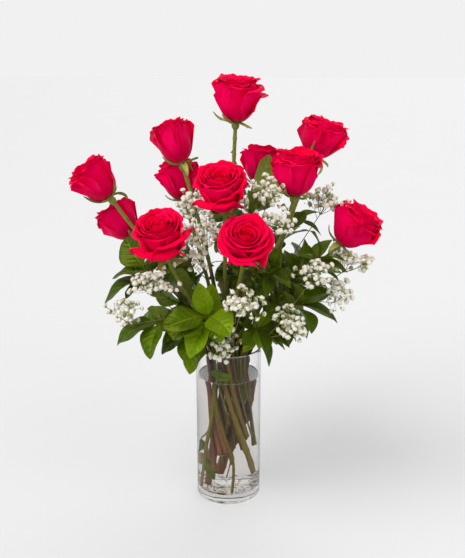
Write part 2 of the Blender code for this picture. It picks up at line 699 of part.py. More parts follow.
def build_water(plan, finish):
    """The water: it fills the vase to its line and has a hole for every stem, open at the top."""
    radius = INNER_RADIUS - GAP - 0.0001
    low = FOOT + GAP
    profile = [(radius * 0.5, low), (radius - 0.0045, low), (radius - 0.0013, low + 0.0012),
               (radius, low + 0.0042), (radius, WATER_TOP), (radius * 0.5, WATER_TOP)]
    turn = np.arange(40) * 2 * math.pi / 40
    rings = [np.stack([reach * np.cos(turn), reach * np.sin(turn), np.full(40, height)], axis=1)
             for reach, height in profile]
    water = add_object("water", loft(rings), finish)
    holes = []
    for index, foot in enumerate(plan.feet):
        neck = plan.routes[index][0]
        start = foot - unit(neck - foot) * 2 * GAP
        holes.append(tube([start, neck], stem_radius(index) + 0.0005, 5))
    return combine(water, holes, "DIFFERENCE")


def stem_radius(index):
    """The stem's radius: roses, then greens, then baby's breath."""
    if index < len(ROSES):
        return ROSE_STEM
    if index < len(ROSES) + len(SALAL) + len(RUSCUS):
        return GREEN_STEM
    return BREATH_STEM


def stem_path(plan, index):
    """The whole stem: straight in the vase, then through the bends of its route."""
    return np.vstack([plan.feet[index], plan.routes[index][list(ROUTE_BENDS)]])


def build_roses(plan, petal, green, bark):
    """Each rose as a stem, a calyx with sepals, and a closed head of petals."""
    for index, rose in enumerate(ROSES):
        name = f"rose_{index + 1:02d}"
        add_object(name + "_stem", tube(stem_path(plan, index), ROSE_STEM, 5), bark)
        add_object(name + "_calyx", loft(calyx_rings(rose)), green)
        add_object(name + "_bloom", loft(bloom_rings(rose)), petal)


def build_greens(plan, family, first, name, finish):
    """Each leafy spray as one stem with its leaves grown onto it."""
    for number in range(len(family)):
        owner = first + number
        obj = add_object(f"{name}_{number + 1}", tube(stem_path(plan, owner), GREEN_STEM, 5), finish)
        combine(obj, [leaf_skin(leaf) for leaf in plan.leaves[owner]], "UNION")


def build_breath(plan, first, finish):
    """Each stem of baby's breath with its side stem, twigs and knots of blossom."""
    for number in range(len(BREATH)):
        owner = first + number
        obj = add_object(f"gypsophila_{number + 1}",
                         tube(stem_path(plan, owner), BREATH_STEM, 5), finish)
        side = plan.sides[owner][list(ROUTE_BENDS)[:-1]]
        skins = [tube(side, BREATH_STEM * 0.75, 4)]
        for root, spot in plan.twigs[owner][0] + plan.twigs[owner][1]:
            skins.append(tube([root, spot], BREATH_STEM * 0.5, 3))
            skins.append(knot_skin(spot, KNOT_RADIUS))
        combine(obj, skins, "UNION")


def main():
    """Clear the scene and build every piece."""
    for obj in list(bpy.data.objects):
        bpy.data.objects.remove(obj)
    plan = arrange()
    build_vase(material("glass", CLEAR, 0.03, 0.35, 1.0))
    build_water(plan, material("water", CLEAR, 0.02, 0.30, 1.0))
    build_roses(plan, material("petals", CRIMSON, 0.55), material("sepals", SEPAL_GREEN, 0.5),
                material("rose_stems", STEM_BROWN, 0.6))
    build_greens(plan, SALAL, len(ROSES), "salal", material("salal", LEAF_GREEN, 0.35))
    build_greens(plan, RUSCUS, len(ROSES) + len(SALAL), "ruscus",
                 material("ruscus", RUSCUS_GREEN, 0.3))
    build_breath(plan, len(ROSES) + len(SALAL) + len(RUSCUS),
                 material("blossom", BLOSSOM_WHITE, 0.7))


main()
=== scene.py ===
"""Roses in a glass cylinder vase: the fine shapes and the finish of every piece.

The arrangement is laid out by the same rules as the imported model: straight stems in a twisted
bunch in the vase, eased apart above it, then leaves and baby's breath wherever there is room.
Every piece is a surface worked out with numpy in metres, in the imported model's own frame.
"""
import logging
import math
from dataclasses import dataclass, replace
from enum import Enum
from typing import Any, Optional, Sequence

import bpy
import numpy as np
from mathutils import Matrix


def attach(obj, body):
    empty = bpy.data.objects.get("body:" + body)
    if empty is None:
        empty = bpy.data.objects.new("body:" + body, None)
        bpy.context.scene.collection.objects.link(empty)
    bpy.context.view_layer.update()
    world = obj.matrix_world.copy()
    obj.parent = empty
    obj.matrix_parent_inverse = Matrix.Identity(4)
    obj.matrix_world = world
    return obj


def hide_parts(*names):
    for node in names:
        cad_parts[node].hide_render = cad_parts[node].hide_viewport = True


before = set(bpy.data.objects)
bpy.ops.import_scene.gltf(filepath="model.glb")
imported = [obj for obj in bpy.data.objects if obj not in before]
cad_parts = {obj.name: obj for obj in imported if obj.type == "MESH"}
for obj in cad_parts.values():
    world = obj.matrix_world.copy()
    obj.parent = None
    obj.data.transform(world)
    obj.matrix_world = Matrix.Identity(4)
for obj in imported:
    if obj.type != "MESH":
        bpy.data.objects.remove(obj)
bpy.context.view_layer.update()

log = logging.getLogger("roses")
Array = np.ndarray
Chance = np.random.Generator
Material = bpy.types.Material
Triple = tuple[float, float, float]
Colour = Triple

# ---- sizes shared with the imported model, metres ----
GAP = 0.0003
VASE_RADIUS = 0.051
VASE_HEIGHT = 0.250
WALL = 0.003
FOOT = 0.014
COVE = 0.0045
WATER_TOP = 0.204
INNER_RADIUS = VASE_RADIUS - WALL
ROSE_STEM = 0.0028
GREEN_STEM = 0.0017
BREATH_STEM = 0.0012
CALYX_LENGTH = 0.0135
PETIOLE = 0.0009

# The bunch in the vase: a grid of cells in its neck, and how the stems run down from there.
NECK_HEIGHT = 0.238
CELL_SPACING = 0.0103
CELL_REACH = 0.0345
GRID_OFFSET = (0.27, 0.31)
TWIST_DEGREES = 98.0
FOOT_SPREAD = 1.22
ROSE_CUTS = (0.004, 0.085)
GREEN_CUTS = (0.050, 0.100)
FAN = 1.35
FAN_REACH = 0.0430

# The routes above the neck: their points, the pulls at both ends, and how they are eased apart.
ROUTE_POINTS = 32
ROUTE_BENDS = (0, 5, 10, 15, 20, 25, 30, 31)
BENDS_DRAWN = [0, 5, 10, 15, 20, 25, 31]
ROUTE_CLEARANCE = 0.0080
NECK_PULL = 0.85
TIP_PULL = 0.55
EASE_ROUNDS = 70
EASE_STEP = 0.004
EASE_SMOOTHING = 0.25
STEM_GAP = 0.0015
HEAD_GAP = 0.006
HEAD_STEP = 0.003
HEAD_MARGIN = 0.002

# What is filled and kept clear where leaves and baby's breath are placed: the balls' radii.
AIR = 0.0012
SIDE_AIR = 0.0006
BLOOM_BALL = 0.0055
CALYX_BALL = 0.0040
TWIG_BALL = 0.0006
TWIG_SPACE = 0.0016
LEAF_MARGIN = 0.0030
KNOT_RADIUS = 0.0060
LARGEST_BALL = 0.0065
VASE_OWNER = -2
BREATH_KNOTS = (7, 5)
KNOT_TRIES = 60
FORKS = (16, 13, 19, 11, 21, 9, 23)

UP = np.array([0.0, 0.0, 1.0])
GOLDEN_ANGLE = math.pi * (3.0 - math.sqrt(5.0))
MILLIMETRE = 0.001


@dataclass(frozen=True)
class Rose:
    """One rose: middle of its head, the way it faces, radius, height and how open it is.

    The guards are its outermost petals: the bearing of each round the head in degrees, 0 to the
    right and -90 to the front, how far it curls out, and its length over the others'.
    """
    centre: Triple
    facing: Triple
    radius: float
    height: float
    openness: float = 0.5
    turn: float = 0.0
    guards: tuple[Triple, ...] = ()


@dataclass(frozen=True)
class Spray:
    """One leafy spray: its stem's tip, and the tip, length and half width of each leaf."""
    tip: Triple
    heading: Triple
    leaves: tuple[tuple[float, float, float, float, float], ...]
    pointed: float = 0.8


@dataclass(frozen=True)
class Breath:
    """One stem of baby's breath: the middles and radii of its two clouds of blossom."""
    clouds: tuple[tuple[float, float, float, float], ...]


def metres(sizes: Any) -> Any:
    """Millimetres as metres: a number, or tuples of numbers to any depth."""
    if isinstance(sizes, tuple):
        return tuple(metres(size) for size in sizes)
    return sizes / 1000


# ---- the bouquet, in millimetres ----
ROSES = [Rose(metres(centre), facing, metres(radius), metres(height), *habit)
         for centre, facing, radius, height, *habit in (
    ((13, 0, 625), (0.06, -0.16, 1.0), 33.5, 62, 0.25, 0.3,
     ((175, 0.3, 1.0), (95, 0.5, 1.0), (-25, 1.5, 1.02), (-100, 0.5, 0.96), (5, 1.5, 0.74))),
    ((-79, 20, 562), (-0.32, 0.02, 1.0), 30, 62, 0.05, 0.9,
     ((150, 0.8, 1.0), (-60, 0.2, 0.98), (60, 0.4, 1.0), (-150, 0.7, 0.95))),
    ((140, 30, 567), (0.38, -0.05, 1.0), 32.5, 58, 0.55, 0.1,
     ((180, 1.6, 1.0), (90, 0.8, 1.0), (0, 1.7, 1.0), (-80, 0.7, 0.93), (-150, 1.0, 0.9))),
    ((-191, -20, 511), (-0.62, -0.05, 0.85), 31, 60, 0.20, 0.6,
     ((175, 1.7, 1.0), (100, 0.7, 1.0), (-95, 0.7, 0.97), (20, 0.5, 0.95), (-160, 1.4, 0.9))),
    ((-76, 70, 497), (-0.25, 0.35, 0.90), 31, 58, 0.30, 1.1,
     ((-100, 0.9, 1.0), (180, 1.2, 0.9), (10, 1.1, 1.0), (80, 0.7, 1.0))),
    ((-9, -90, 507), (-0.10, -0.50, 0.85), 32.5, 62, 0.40, 0.0,
     ((90, 0.7, 1.02), (175, 1.5, 1.0), (5, 1.5, 1.0), (-55, 1.3, 0.94), (-115, 1.9, 0.84))),
    ((53, 90, 519), (0.10, 0.30, 0.95), 31, 58, 0.50, 0.5,
     ((-90, 0.8, 1.0), (180, 1.0, 1.0), (0, 0.8, 1.0), (90, 0.9, 1.0))),
    ((99, -30, 523), (0.10, -0.16, 1.0), 33, 64, 0.50, 0.2,
     ((180, 1.2, 1.0), (90, 0.7, 1.0), (-20, 1.0, 1.0), (-115, 0.6, 0.95))),
    ((-165, 30, 441), (-0.60, 0.20, 0.70), 30, 56, 0.30, 0.8,
     ((-80, 0.5, 1.0), (160, 1.1, 1.0), (60, 0.7, 1.0), (-150, 0.9, 0.95))),
    ((-90, -110, 445), (-0.15, -0.50, 0.85), 33, 64, 0.45, 0.4,
     ((90, 0.6, 1.02), (170, 1.6, 1.0), (15, 1.3, 1.0), (-55, 1.8, 0.92), (-115, 2.0, 0.86))),
    ((24, -130, 443), (0.05, -0.66, 0.72), 32.5, 55, 0.60, 0.7,
     ((80, 1.0, 0.92), (165, 1.9, 1.0), (5, 1.8, 1.0), (-70, 1.4, 0.94), (-135, 1.7, 0.92))),
    ((184, -30, 444), (0.62, -0.12, 0.78), 32.5, 62, 0.50, 0.3,
     ((185, 1.4, 1.0), (80, 1.2, 1.0), (0, 1.6, 1.0), (-70, 1.3, 0.92), (-130, 0.9, 0.88))),
)]

SALAL = [Spray(metres(tip), heading, metres(leaves)) for tip, heading, leaves in (
    ((-120, -50, 385), (-0.8, -0.3, 0.5), (
        (-172, -40, 372, 58, 19), (-100, -30, 372, 60, 21), (-185, -60, 335, 88, 24),
        (-65, -20, 335, 60, 22), (-140, -85, 350, 62, 22), (-130, 10, 410, 62, 23),
        (-85, -60, 402, 50, 18))),
    ((-100, -70, 312), (-0.9, -0.4, 0.1), (
        (-180, -70, 285, 76, 21), (-100, -60, 255, 58, 20), (-145, -20, 300, 70, 23),
        (-120, -110, 272, 60, 20), (-72, -85, 338, 54, 19), (-90, -15, 275, 58, 20))),
    ((-30, -100, 330), (-0.3, -0.9, 0.2), (
        (-100, -130, 312, 66, 20), (-92, -112, 290, 62, 20), (-8, -150, 308, 58, 23),
        (-62, -118, 252, 66, 18), (-45, -112, 392, 56, 15), (-12, -128, 352, 50, 17),
        (22, -118, 282, 56, 18))),
    ((35, 20, 492), (0.1, 0.1, 1.0), (
        (62, 20, 548, 78, 27), (-52, 0, 497, 70, 24), (30, -20, 472, 60, 21), (85, 50, 470, 70, 24),
        (0, 75, 480, 74, 25), (75, -10, 500, 60, 20))),
    ((-105, 60, 400), (-0.6, 0.6, 0.6), (
        (-100, 0, 475, 72, 23), (-160, 85, 405, 72, 24), (-80, 125, 400, 72, 25),
        (-150, 50, 345, 70, 23), (-90, 110, 330, 76, 24), (-112, 30, 330, 68, 21))),
    ((30, 125, 375), (0.2, 0.9, 0.5), (
        (-30, 150, 385, 72, 24), (85, 150, 390, 72, 24), (30, 185, 360, 72, 24),
        (-10, 130, 305, 78, 25), (70, 120, 300, 76, 23), (30, 105, 268, 64, 20))),
    ((120, 50, 350), (0.9, 0.5, 0.3), (
        (180, 40, 355, 72, 22), (140, 110, 350, 74, 24), (150, 20, 295, 76, 22),
        (125, 80, 285, 72, 23), (110, 20, 400, 62, 20), (80, 70, 272, 58, 19))),
)]

RUSCUS = [Spray(metres(tip), heading, metres(leaves), pointed)
          for tip, heading, leaves, pointed in (
    ((135, -50, 410), (0.6, -0.3, 0.7), (
        (115, -70, 448, 50, 11), (150, -62, 428, 52, 11), (175, -35, 398, 56, 12),
        (162, -70, 372, 56, 12), (85, -112, 422, 58, 12), (105, -100, 382, 54, 12)), 1.1),
    ((100, -60, 335), (0.8, -0.5, 0.2), (
        (85, -122, 328, 66, 20), (65, -105, 283, 60, 14), (162, -60, 292, 68, 17),
        (158, -40, 337, 62, 16), (102, -120, 367, 62, 14), (128, -105, 328, 60, 16),
        (120, -40, 288, 60, 16)), 1.0),
    ((48, -80, 305), (0.4, -0.8, 0.1), (
        (36, -112, 268, 50, 11), (66, -84, 228, 58, 10), (74, -108, 262, 52, 12),
        (12, -115, 290, 54, 13), (95, -60, 285, 54, 14), (-10, -108, 266, 50, 13)), 1.1),
    ((60, -100, 400), (0.2, -0.6, 0.7), (
        (52, -132, 362, 44, 9), (84, -126, 377, 44, 9), (40, -130, 392, 40, 9),
        (74, -118, 428, 42, 10), (20, -110, 372, 48, 10), (95, -95, 395, 44, 10),
        (35, -122, 345, 44, 11)), 1.1),
    ((105, 105, 430), (0.5, 0.5, 0.7), (
        (150, 110, 440, 52, 12), (95, 150, 450, 52, 12), (155, 90, 400, 56, 12),
        (110, 155, 400, 56, 12), (130, 65, 455, 52, 12)), 1.1),
)]

# Leaves in the water: number of the spray they grow on, place, direction, length, half width.
DIPPED_LEAVES = [
    (2, (-31, -26, 217), (0.90, -0.22, -0.42), 40, 8.5),
    (0, (-38, -12, 74), (0.34, -0.25, -0.90), 48, 8.5),
    (0, (-36, -8, 98), (-0.10, -0.60, -0.80), 26, 6),
    (5, (20, 20, 236), (0.10, -0.30, -0.95), 32, 9),
]

# Side shoots in the water: number of the spray, radius, and points along each.
DIPPED_SHOOTS = [
    (2, 2.3, ((-6, -14, 214), (-18, -26, 196), (-17, -33, 160), (-6, -36, 115), (7, -38, 76))),
    (2, 2, ((6, -38, 79), (7.5, -38, 60), (7, -38, 38), (5, -37, 16))),
    (2, 1, ((4, -38, 83), (2, -39, 66), (-3, -39, 43))),
    (0, 3, ((-18, -12, 190), (-21, -26, 150), (-31, -28, 100), (-37, -24, 52), (-40, -18, 18))),
    (0, 1.1, ((-25, -27, 125), (-34, -27, 112), (-40, -22, 104))),
    (0, 1.1, ((-33, -27, 90), (-40, -20, 82), (-43, -13, 80))),
]

BREATH = [Breath(metres(clouds)) for clouds in (
    ((-52, -10, 462, 28), (-75, -35, 420, 20)),
    ((-30, -70, 430, 27), (-50, -80, 400, 20)),
    ((55, -60, 485, 27), (65, -85, 452, 18)),
    ((-100, -105, 362, 30), (-145, -85, 312, 30)),
    ((18, -130, 345, 28), (2, -90, 285, 22)),
    ((85, -120, 312, 24), (122, -90, 385, 20)),
    ((178, -25, 380, 28), (158, -50, 335, 26)),
    ((142, -8, 468, 22), (20, 60, 450, 26)),
    ((-60, 125, 440, 28), (80, 150, 330, 26)),
)]


# ---- small vector tools ----
def unit(vector: Sequence[float]) -> Array:
    """The vector at length one."""
    vector = np.asarray(vector, float)
    return vector / np.linalg.norm(vector)


def unit_rows(vectors: Array) -> Array:
    """Every vector along the last axis at length one."""
    return vectors / (np.linalg.norm(vectors, axis=-1, keepdims=True) + 1e-12)


def square_to(axis: Array, hint: Sequence[float]) -> Array:
    """A unit vector square to the axis, as near to the hint as it can be."""
    axis = unit(axis)
    hint = np.asarray(hint, float)
    return unit(hint - axis * (hint @ axis))


def turned(vector: Array, axis: Array, degrees: float) -> Array:
    """The vector turned about an axis, by Rodrigues' formula."""
    angle = math.radians(degrees)
    along = axis * (vector @ axis) * (1.0 - math.cos(angle))
    return vector * math.cos(angle) + np.cross(axis, vector) * math.sin(angle) + along


def spans(first: Array, second: Array) -> Array:
    """The distance from each of the first points to each of the second."""
    squares = (first**2).sum(axis=1)[:, None] + (second**2).sum(axis=1)[None]
    return np.sqrt(np.maximum(squares - 2.0 * first @ second.T, 1e-12))


def smooth_path(keys: Array, count: int) -> Array:
    """Points on the Catmull-Rom curve through the keys, which it passes at equal steps.

    Args:
        keys: points to pass through, one row each.
        count: how many points to return.

    Returns:
        The points, one row each.
    """
    return catmull_rom(np.asarray(keys, float), np.linspace(0.0, 1.0, count))


def catmull_rom(keys: Array, share: Array) -> Array:
    """The curve through the keys, at shares of its length from 0 to 1."""
    last = len(keys) - 1
    padded = np.concatenate([2 * keys[:1] - keys[1:2], keys, 2 * keys[-1:] - keys[-2:-1]])
    place = share * last
    start = np.minimum(place.astype(int), last - 1)
    t = (place - start)[..., None]
    p0, p1, p2, p3 = (padded[start + step] for step in range(4))
    return 0.5 * (2 * p1 + (p2 - p0) * t + (2 * p0 - 5 * p1 + 4 * p2 - p3) * t**2
                  + (3 * p1 - p0 - 3 * p2 + p3) * t**3)


# ---- how the stems run ----
def neck_cells() -> Array:
    """Places for stems in the vase's neck: a triangular grid, off centre."""
    count = int(CELL_REACH / CELL_SPACING) + 2
    cells = []
    for row in range(-count, count + 1):
        for column in range(-count, count + 1):
            x = (column + 0.5 * (row % 2) + GRID_OFFSET[0]) * CELL_SPACING
            y = (row * math.sqrt(0.75) + GRID_OFFSET[1]) * CELL_SPACING
            if math.hypot(x, y) < CELL_REACH:
                cells.append((x, y))
    return np.array(cells)


def choose_cells(goals: Array) -> Array:
    """Each stem takes the free cell nearest its goal drawn in to the neck, widest goals first."""
    free = neck_cells()
    reach = np.hypot(goals[:, 0], goals[:, 1])
    chosen = np.zeros((len(goals), 2))
    for index in np.argsort(-reach, kind="stable"):
        wanted = goals[index, :2] * (CELL_REACH / reach.max())
        nearest = int(np.argmin(np.hypot(*(free - wanted).T)))
        chosen[index] = free[nearest]
        free = np.delete(free, nearest, axis=0)
    return chosen


def hermite(start: Array, start_pull: Array, end: Array, end_pull: Array, count: int) -> Array:
    """Points on the cubic that leaves start along start_pull and reaches end along end_pull."""
    t = np.linspace(0.0, 1.0, count)[:, None]
    return ((2 * t**3 - 3 * t**2 + 1) * start + (t**3 - 2 * t**2 + t) * start_pull
            + (3 * t**2 - 2 * t**3) * end + (t**3 - t**2) * end_pull)


def stem_foot(cell: Array) -> Array:
    """Where a neck cell's stem meets the vase's floor: the bunch is twisted and spread."""
    turn = math.radians(TWIST_DEGREES)
    x = (math.cos(turn) * cell[0] - math.sin(turn) * cell[1]) * FOOT_SPREAD
    y = (math.sin(turn) * cell[0] + math.cos(turn) * cell[1]) * FOOT_SPREAD
    return np.array([x, y, FOOT])


def ease_apart(routes: Array, radii: Array, heads: list[tuple[Array, float]]) -> Array:
    """Push the routes off each other and off the rose heads, with both ends of each held.

    Args:
        routes: the stems' points, stem by point by axis.
        radii: the stems' radii.
        heads: middle and radius of each rose head.

    Returns:
        The routes after the pushes.
    """
    owner = np.repeat(np.arange(len(routes)), ROUTE_POINTS)
    reach = np.maximum(radii[owner][:, None] + radii[owner][None] + STEM_GAP, ROUTE_CLEARANCE)
    others = owner[:, None] != owner[None]
    for _ in range(EASE_ROUNDS):
        points = routes.reshape(-1, 3)
        distance = spans(points, points)
        push = np.where(others & (distance < reach), 0.5 * (reach - distance) / distance, 0.0)
        shift = points * push.sum(axis=1)[:, None] - push @ points
        shift = np.clip(shift, -EASE_STEP, EASE_STEP)
        for centre, radius in heads:
            away = points - centre
            span = np.sqrt((away**2).sum(axis=1))[:, None] + 1e-9
            shift += away / span * np.clip(radius + HEAD_GAP - span, 0.0, HEAD_STEP)
        moved = routes + shift.reshape(routes.shape)
        smooth = 0.5 * (moved[:, :-2] + moved[:, 2:])
        moved[:, 1:-1] = (1.0 - EASE_SMOOTHING) * moved[:, 1:-1] + EASE_SMOOTHING * smooth
        routes[:, 2:-2] = moved[:, 2:-2]
    return routes


def straightened(route: Array) -> Array:
    """The route with straight runs between its bends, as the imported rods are."""
    bends = list(ROUTE_BENDS)
    return np.stack([np.interp(np.arange(ROUTE_POINTS), bends, route[bends, axis])
                     for axis in range(3)], axis=1)


class Room:
    """What is already filled, as balls with an owner each, and a test against them."""

    def __init__(self) -> None:
        """An empty room."""
        self.centres = np.zeros((0, 3))
        self.radii = np.zeros(0)
        self.owners = np.zeros(0, int)

    def fill(self, centres: Array, radius: float, owner: int) -> None:
        """Add balls of one radius."""
        self.centres = np.vstack([self.centres, centres])
        self.radii = np.append(self.radii, np.full(len(centres), radius))
        self.owners = np.append(self.owners, np.full(len(centres), owner))

    def is_clear(self, points: Array, radius: float, ignore: int = -1) -> bool:
        """Whether balls of this radius at the points touch nothing, but for one owner's."""
        low = points.min(axis=0) - radius - LARGEST_BALL
        high = points.max(axis=0) + radius + LARGEST_BALL
        near = ((self.centres > low) & (self.centres < high)).all(axis=1) & (self.owners != ignore)
        distance = spans(points, self.centres[near])
        return bool((distance > self.radii[near][None] + radius).all())


# ---- leaves and twigs ----
LEAF_TURNS = sorted(((yaw, pitch) for yaw in range(-48, 49, 12) for pitch in range(-48, 49, 12)),
                    key=lambda turn: (turn[0] ** 2 + turn[1] ** 2, turn))
LEAF_SCALES = (1.0, 0.85, 0.72)
FILL_TRIES = [(scale, turn, lean) for scale in (1.0, 0.78) for turn in (0, 60, -60, 120, -120, 180)
              for lean in (0.5, -0.1, 1.0)]
YOUNG_TRIES = [(scale, turn, lean) for scale in (0.66, 0.5) for turn in range(0, 360, 45)
               for lean in (0.8, 0.0)]
FILL_SWING = 25.0
FILL_TOP = 0.43


@dataclass
class Leaf:
    """One leaf: an arched blade on a short stalk, folded up a little along its midrib."""
    base: Array
    along: Array
    normal: Array
    length: float
    half_width: float
    pointed: float
    arch: float = 0.9
    fold: float = 0.22
    stalk: float = 0.12

    def surface(self, across: Array, run: Array) -> Array:
        """Points of the middle surface: across from -1 to 1, run from 0 at the stem to 1.

        The midrib is an arc that turns down by the arch angle in all; the half width rises
        from the stalk to its full value and closes to a point, and the sides lift by the fold.
        """
        across, run = np.broadcast_arrays(across, run)
        width = self.width(run)
        forward = (math.sin(self.arch / 2) - np.sin(self.arch * (0.5 - run))) / self.arch
        lift = (np.cos(self.arch * (0.5 - run)) - math.cos(self.arch / 2)) / self.arch
        side = np.cross(self.along, self.normal)
        return (self.base + self.length * (forward[..., None] * self.along
                                           + lift[..., None] * self.normal)
                + (across * width)[..., None] * side
                + (np.abs(across) * width * self.fold)[..., None] * self.normal)

    def width(self, run: Array) -> Array:
        """Half the leaf's width at each run."""
        blade = np.clip((run - self.stalk) / (1.0 - self.stalk), 0.0, 1.0)
        width = self.half_width * (4.0 * blade * (1.0 - blade)) ** self.pointed
        return width * (1.12 - 0.35 * blade) + PETIOLE * (1.0 - blade)


def rim_points() -> Array:
    """Points round the top of the vase's wall, which leaves keep off."""
    turn = np.linspace(0.0, 2 * math.pi, 90, endpoint=False)
    return np.array([(VASE_RADIUS * math.cos(angle), VASE_RADIUS * math.sin(angle), height)
                     for height in np.arange(0.20, VASE_HEIGHT + 0.001, 0.005) for angle in turn])


def leaf_node(route: Array, tip: Array, length: float, used: list[int]) -> Array:
    """The free point of the route's upper part whose distance to the tip is nearest the length."""
    misfit = np.abs(np.linalg.norm(route - tip, axis=1) - length)
    misfit[:ROUTE_POINTS // 3] = np.inf
    misfit[used] = np.inf
    used.append(int(np.argmin(misfit)))
    return route[used[-1]]


def settle(room: Room, leaf: Leaf, owner: int) -> bool:
    """Fill the room with the leaf if it touches nothing, and say whether it did."""
    blade = np.linspace(0.30, 1.0, 17)[:, None]
    stalk = np.linspace(0.10, 0.30, 4)[:, None]
    spots = leaf.surface(np.linspace(-1.0, 1.0, 11)[None], blade).reshape(-1, 3)
    neck = leaf.surface(np.linspace(-1.0, 1.0, 3)[None], stalk).reshape(-1, 3)
    if not (room.is_clear(spots, LEAF_MARGIN) and room.is_clear(neck, TWIG_SPACE, owner)):
        return False
    room.fill(spots, LEAF_MARGIN, owner)
    return True


def place_leaf(room: Room, route: Array, spec: tuple, pointed: float, owner: int,
               used: list[int]) -> Optional[Leaf]:
    """A leaf from the route towards its wanted tip, turned or shortened until it is clear.

    Args:
        room: what is already filled; the leaf is added to it.
        route: the spray's stem.
        spec: the leaf's tip, length and half width.
        pointed: how sharply its outline closes.
        owner: the spray's number.
        used: the route's points that already bear a leaf.

    Returns:
        The leaf, or None if nothing was clear.
    """
    tip = np.array(spec[:3])
    base = leaf_node(route, tip, spec[3], used)
    outward = np.array([base[0] + tip[0], base[1] + tip[1], 0.0])
    along = unit(tip - base)
    normal = square_to(along, 0.9 * UP + 0.8 * unit(outward))
    side = np.cross(along, normal)
    for scale in LEAF_SCALES:
        for yaw, pitch in LEAF_TURNS:
            heading = turned(turned(along, normal, yaw), side, pitch)
            leaf = Leaf(base, heading, square_to(heading, normal), spec[3] * scale,
                        spec[4] * scale, pointed)
            if settle(room, leaf, owner):
                return leaf
    return None


def fill_leaves(room: Room, route: Array, spray: Spray, owner: int, used: list[int],
                tries: list[Triple]) -> list[Leaf]:
    """Leaves at the stem's free points, spread about it as they come, wherever there is room."""
    length, half_width = np.median([spec[3:] for spec in spray.leaves], axis=0)
    leaves = []
    for point in range(ROUTE_POINTS // 4, ROUTE_POINTS - 2):
        base = route[point]
        stem = unit(route[point + 1] - route[point - 1])
        outward = square_to(stem, (base[0], base[1], 0.0))
        for scale, turn, lean in tries if point not in used else ():
            side = turned(outward, stem, turn + FILL_SWING * math.sin(2.4 * point))
            heading = unit(side + lean * stem)
            leaf = Leaf(base, heading, square_to(heading, 0.9 * UP + 0.5 * outward),
                        length * scale, half_width * scale, spray.pointed)
            tip = leaf.surface(np.zeros(1), np.ones(1))[0]
            if tip[2] < FILL_TOP and settle(room, leaf, owner):
                leaves.append(leaf)
                break
    return leaves


def ball_points(count: int, centre: Array, radius: float) -> Array:
    """Points spread through a ball by the golden angle, the outer ones first."""
    index = np.arange(count)
    level = 1.0 - 2.0 * (index + 0.5) / count
    turn = index * GOLDEN_ANGLE
    reach = radius * (1.0 - 0.45 * (index % 3) / 2.0)
    flat = np.sqrt(1.0 - level**2) * reach
    return centre + np.stack([flat * np.cos(turn), flat * np.sin(turn), level * reach], axis=1)


def place_knots(room: Room, route: Array, cloud: tuple, wanted: int,
                owner: int) -> list[tuple[Array, Array]]:
    """Twigs from the route to knots of blossom in one cloud, each where there is room."""
    centre = np.array(cloud[:3])
    twigs = []
    for spot in ball_points(KNOT_TRIES, centre, cloud[3]):
        nearest = int(np.argmin(np.linalg.norm(route[6:] - spot, axis=1))) + 6
        root = route[max(nearest - 2, 6)]
        line = root + (spot - root) * np.linspace(0.08, 0.85, 14)[:, None]
        if not room.is_clear(spot[None], KNOT_RADIUS + AIR):
            continue
        if not room.is_clear(line, TWIG_SPACE, owner):
            continue
        room.fill(spot[None], KNOT_RADIUS, owner)
        room.fill(line[3:], TWIG_BALL, owner)
        twigs.append((root, spot))
        if len(twigs) == wanted:
            break
    return twigs


def side_stem(room: Room, route: Array, cloud: tuple, owner: int) -> Optional[Array]:
    """A side stem that leaves the route part way up, where it clears all, to another cloud."""
    end = np.array(cloud[:3])
    for fork in FORKS:
        start = route[fork]
        reach = np.linalg.norm(end - start)
        pull = unit(route[fork + 2] - route[fork - 2]) * reach * 0.8
        branch = straightened(hermite(start, pull, end, (end - start) * 0.8, ROUTE_POINTS))
        if room.is_clear(branch, AIR, owner):
            return branch
    return None


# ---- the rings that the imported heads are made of, which fill room in the layout ----
BLOOM_PROFILE = ((0.27, 0.0), (0.66, 0.12), (0.93, 0.36), (0.92, 0.66), (1.04, 0.90),
                 (0.82, 0.985), (0.48, 1.0), (0.20, 0.93))
BLOOM_SIDES = 12
CALYX_SIDES = 15


def flower_axes(rose: Rose) -> tuple[Array, Array, Array]:
    """The head's own axes: two across it and one the way it faces."""
    facing = unit(rose.facing)
    first = square_to(facing, (1.0, 0.2, 0.0))
    return first, np.cross(facing, first), facing


def bloom_rings(rose: Rose) -> Array:
    """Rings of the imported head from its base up: a cup whose rim has five soft lobes."""
    first, second, facing = flower_axes(rose)
    turn = np.linspace(0.0, 2 * math.pi, BLOOM_SIDES, endpoint=False)
    base = np.array(rose.centre) - facing * rose.height / 2
    rings = []
    for radius, height in BLOOM_PROFILE:
        lobed = rose.radius * radius * (1.0 + 0.07 * height * np.cos(5 * turn + rose.radius * 900))
        rings.append(base + np.outer(lobed * np.cos(turn), first)
                     + np.outer(lobed * np.sin(turn), second) + facing * rose.height * height)
    return np.array(rings)


def sepal_rings(rose: Rose) -> Array:
    """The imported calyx's three upper rings: five sepals that reach 21 mm and droop."""
    first, second, facing = flower_axes(rose)
    turn = np.arange(CALYX_SIDES) * 2 * math.pi / CALYX_SIDES
    sepal = (np.arange(CALYX_SIDES) % 3 == 0).astype(float)
    foot = np.array(rose.centre) - facing * (rose.height / 2 + GAP + CALYX_LENGTH)
    rings = []
    for height, radius, drop in ((0.0112, 0.0064 + 0.0150 * sepal, -0.0030 * sepal),
                                 (0.0128, 0.0064 + 0.0150 * sepal, -0.0036 * sepal),
                                 (CALYX_LENGTH, 0.0050 + 0.0 * sepal, 0.0 * sepal)):
        rings.append(foot + facing * height + np.outer(radius * np.cos(turn), first)
                     + np.outer(radius * np.sin(turn), second) + np.outer(drop, facing))
    return np.array(rings)


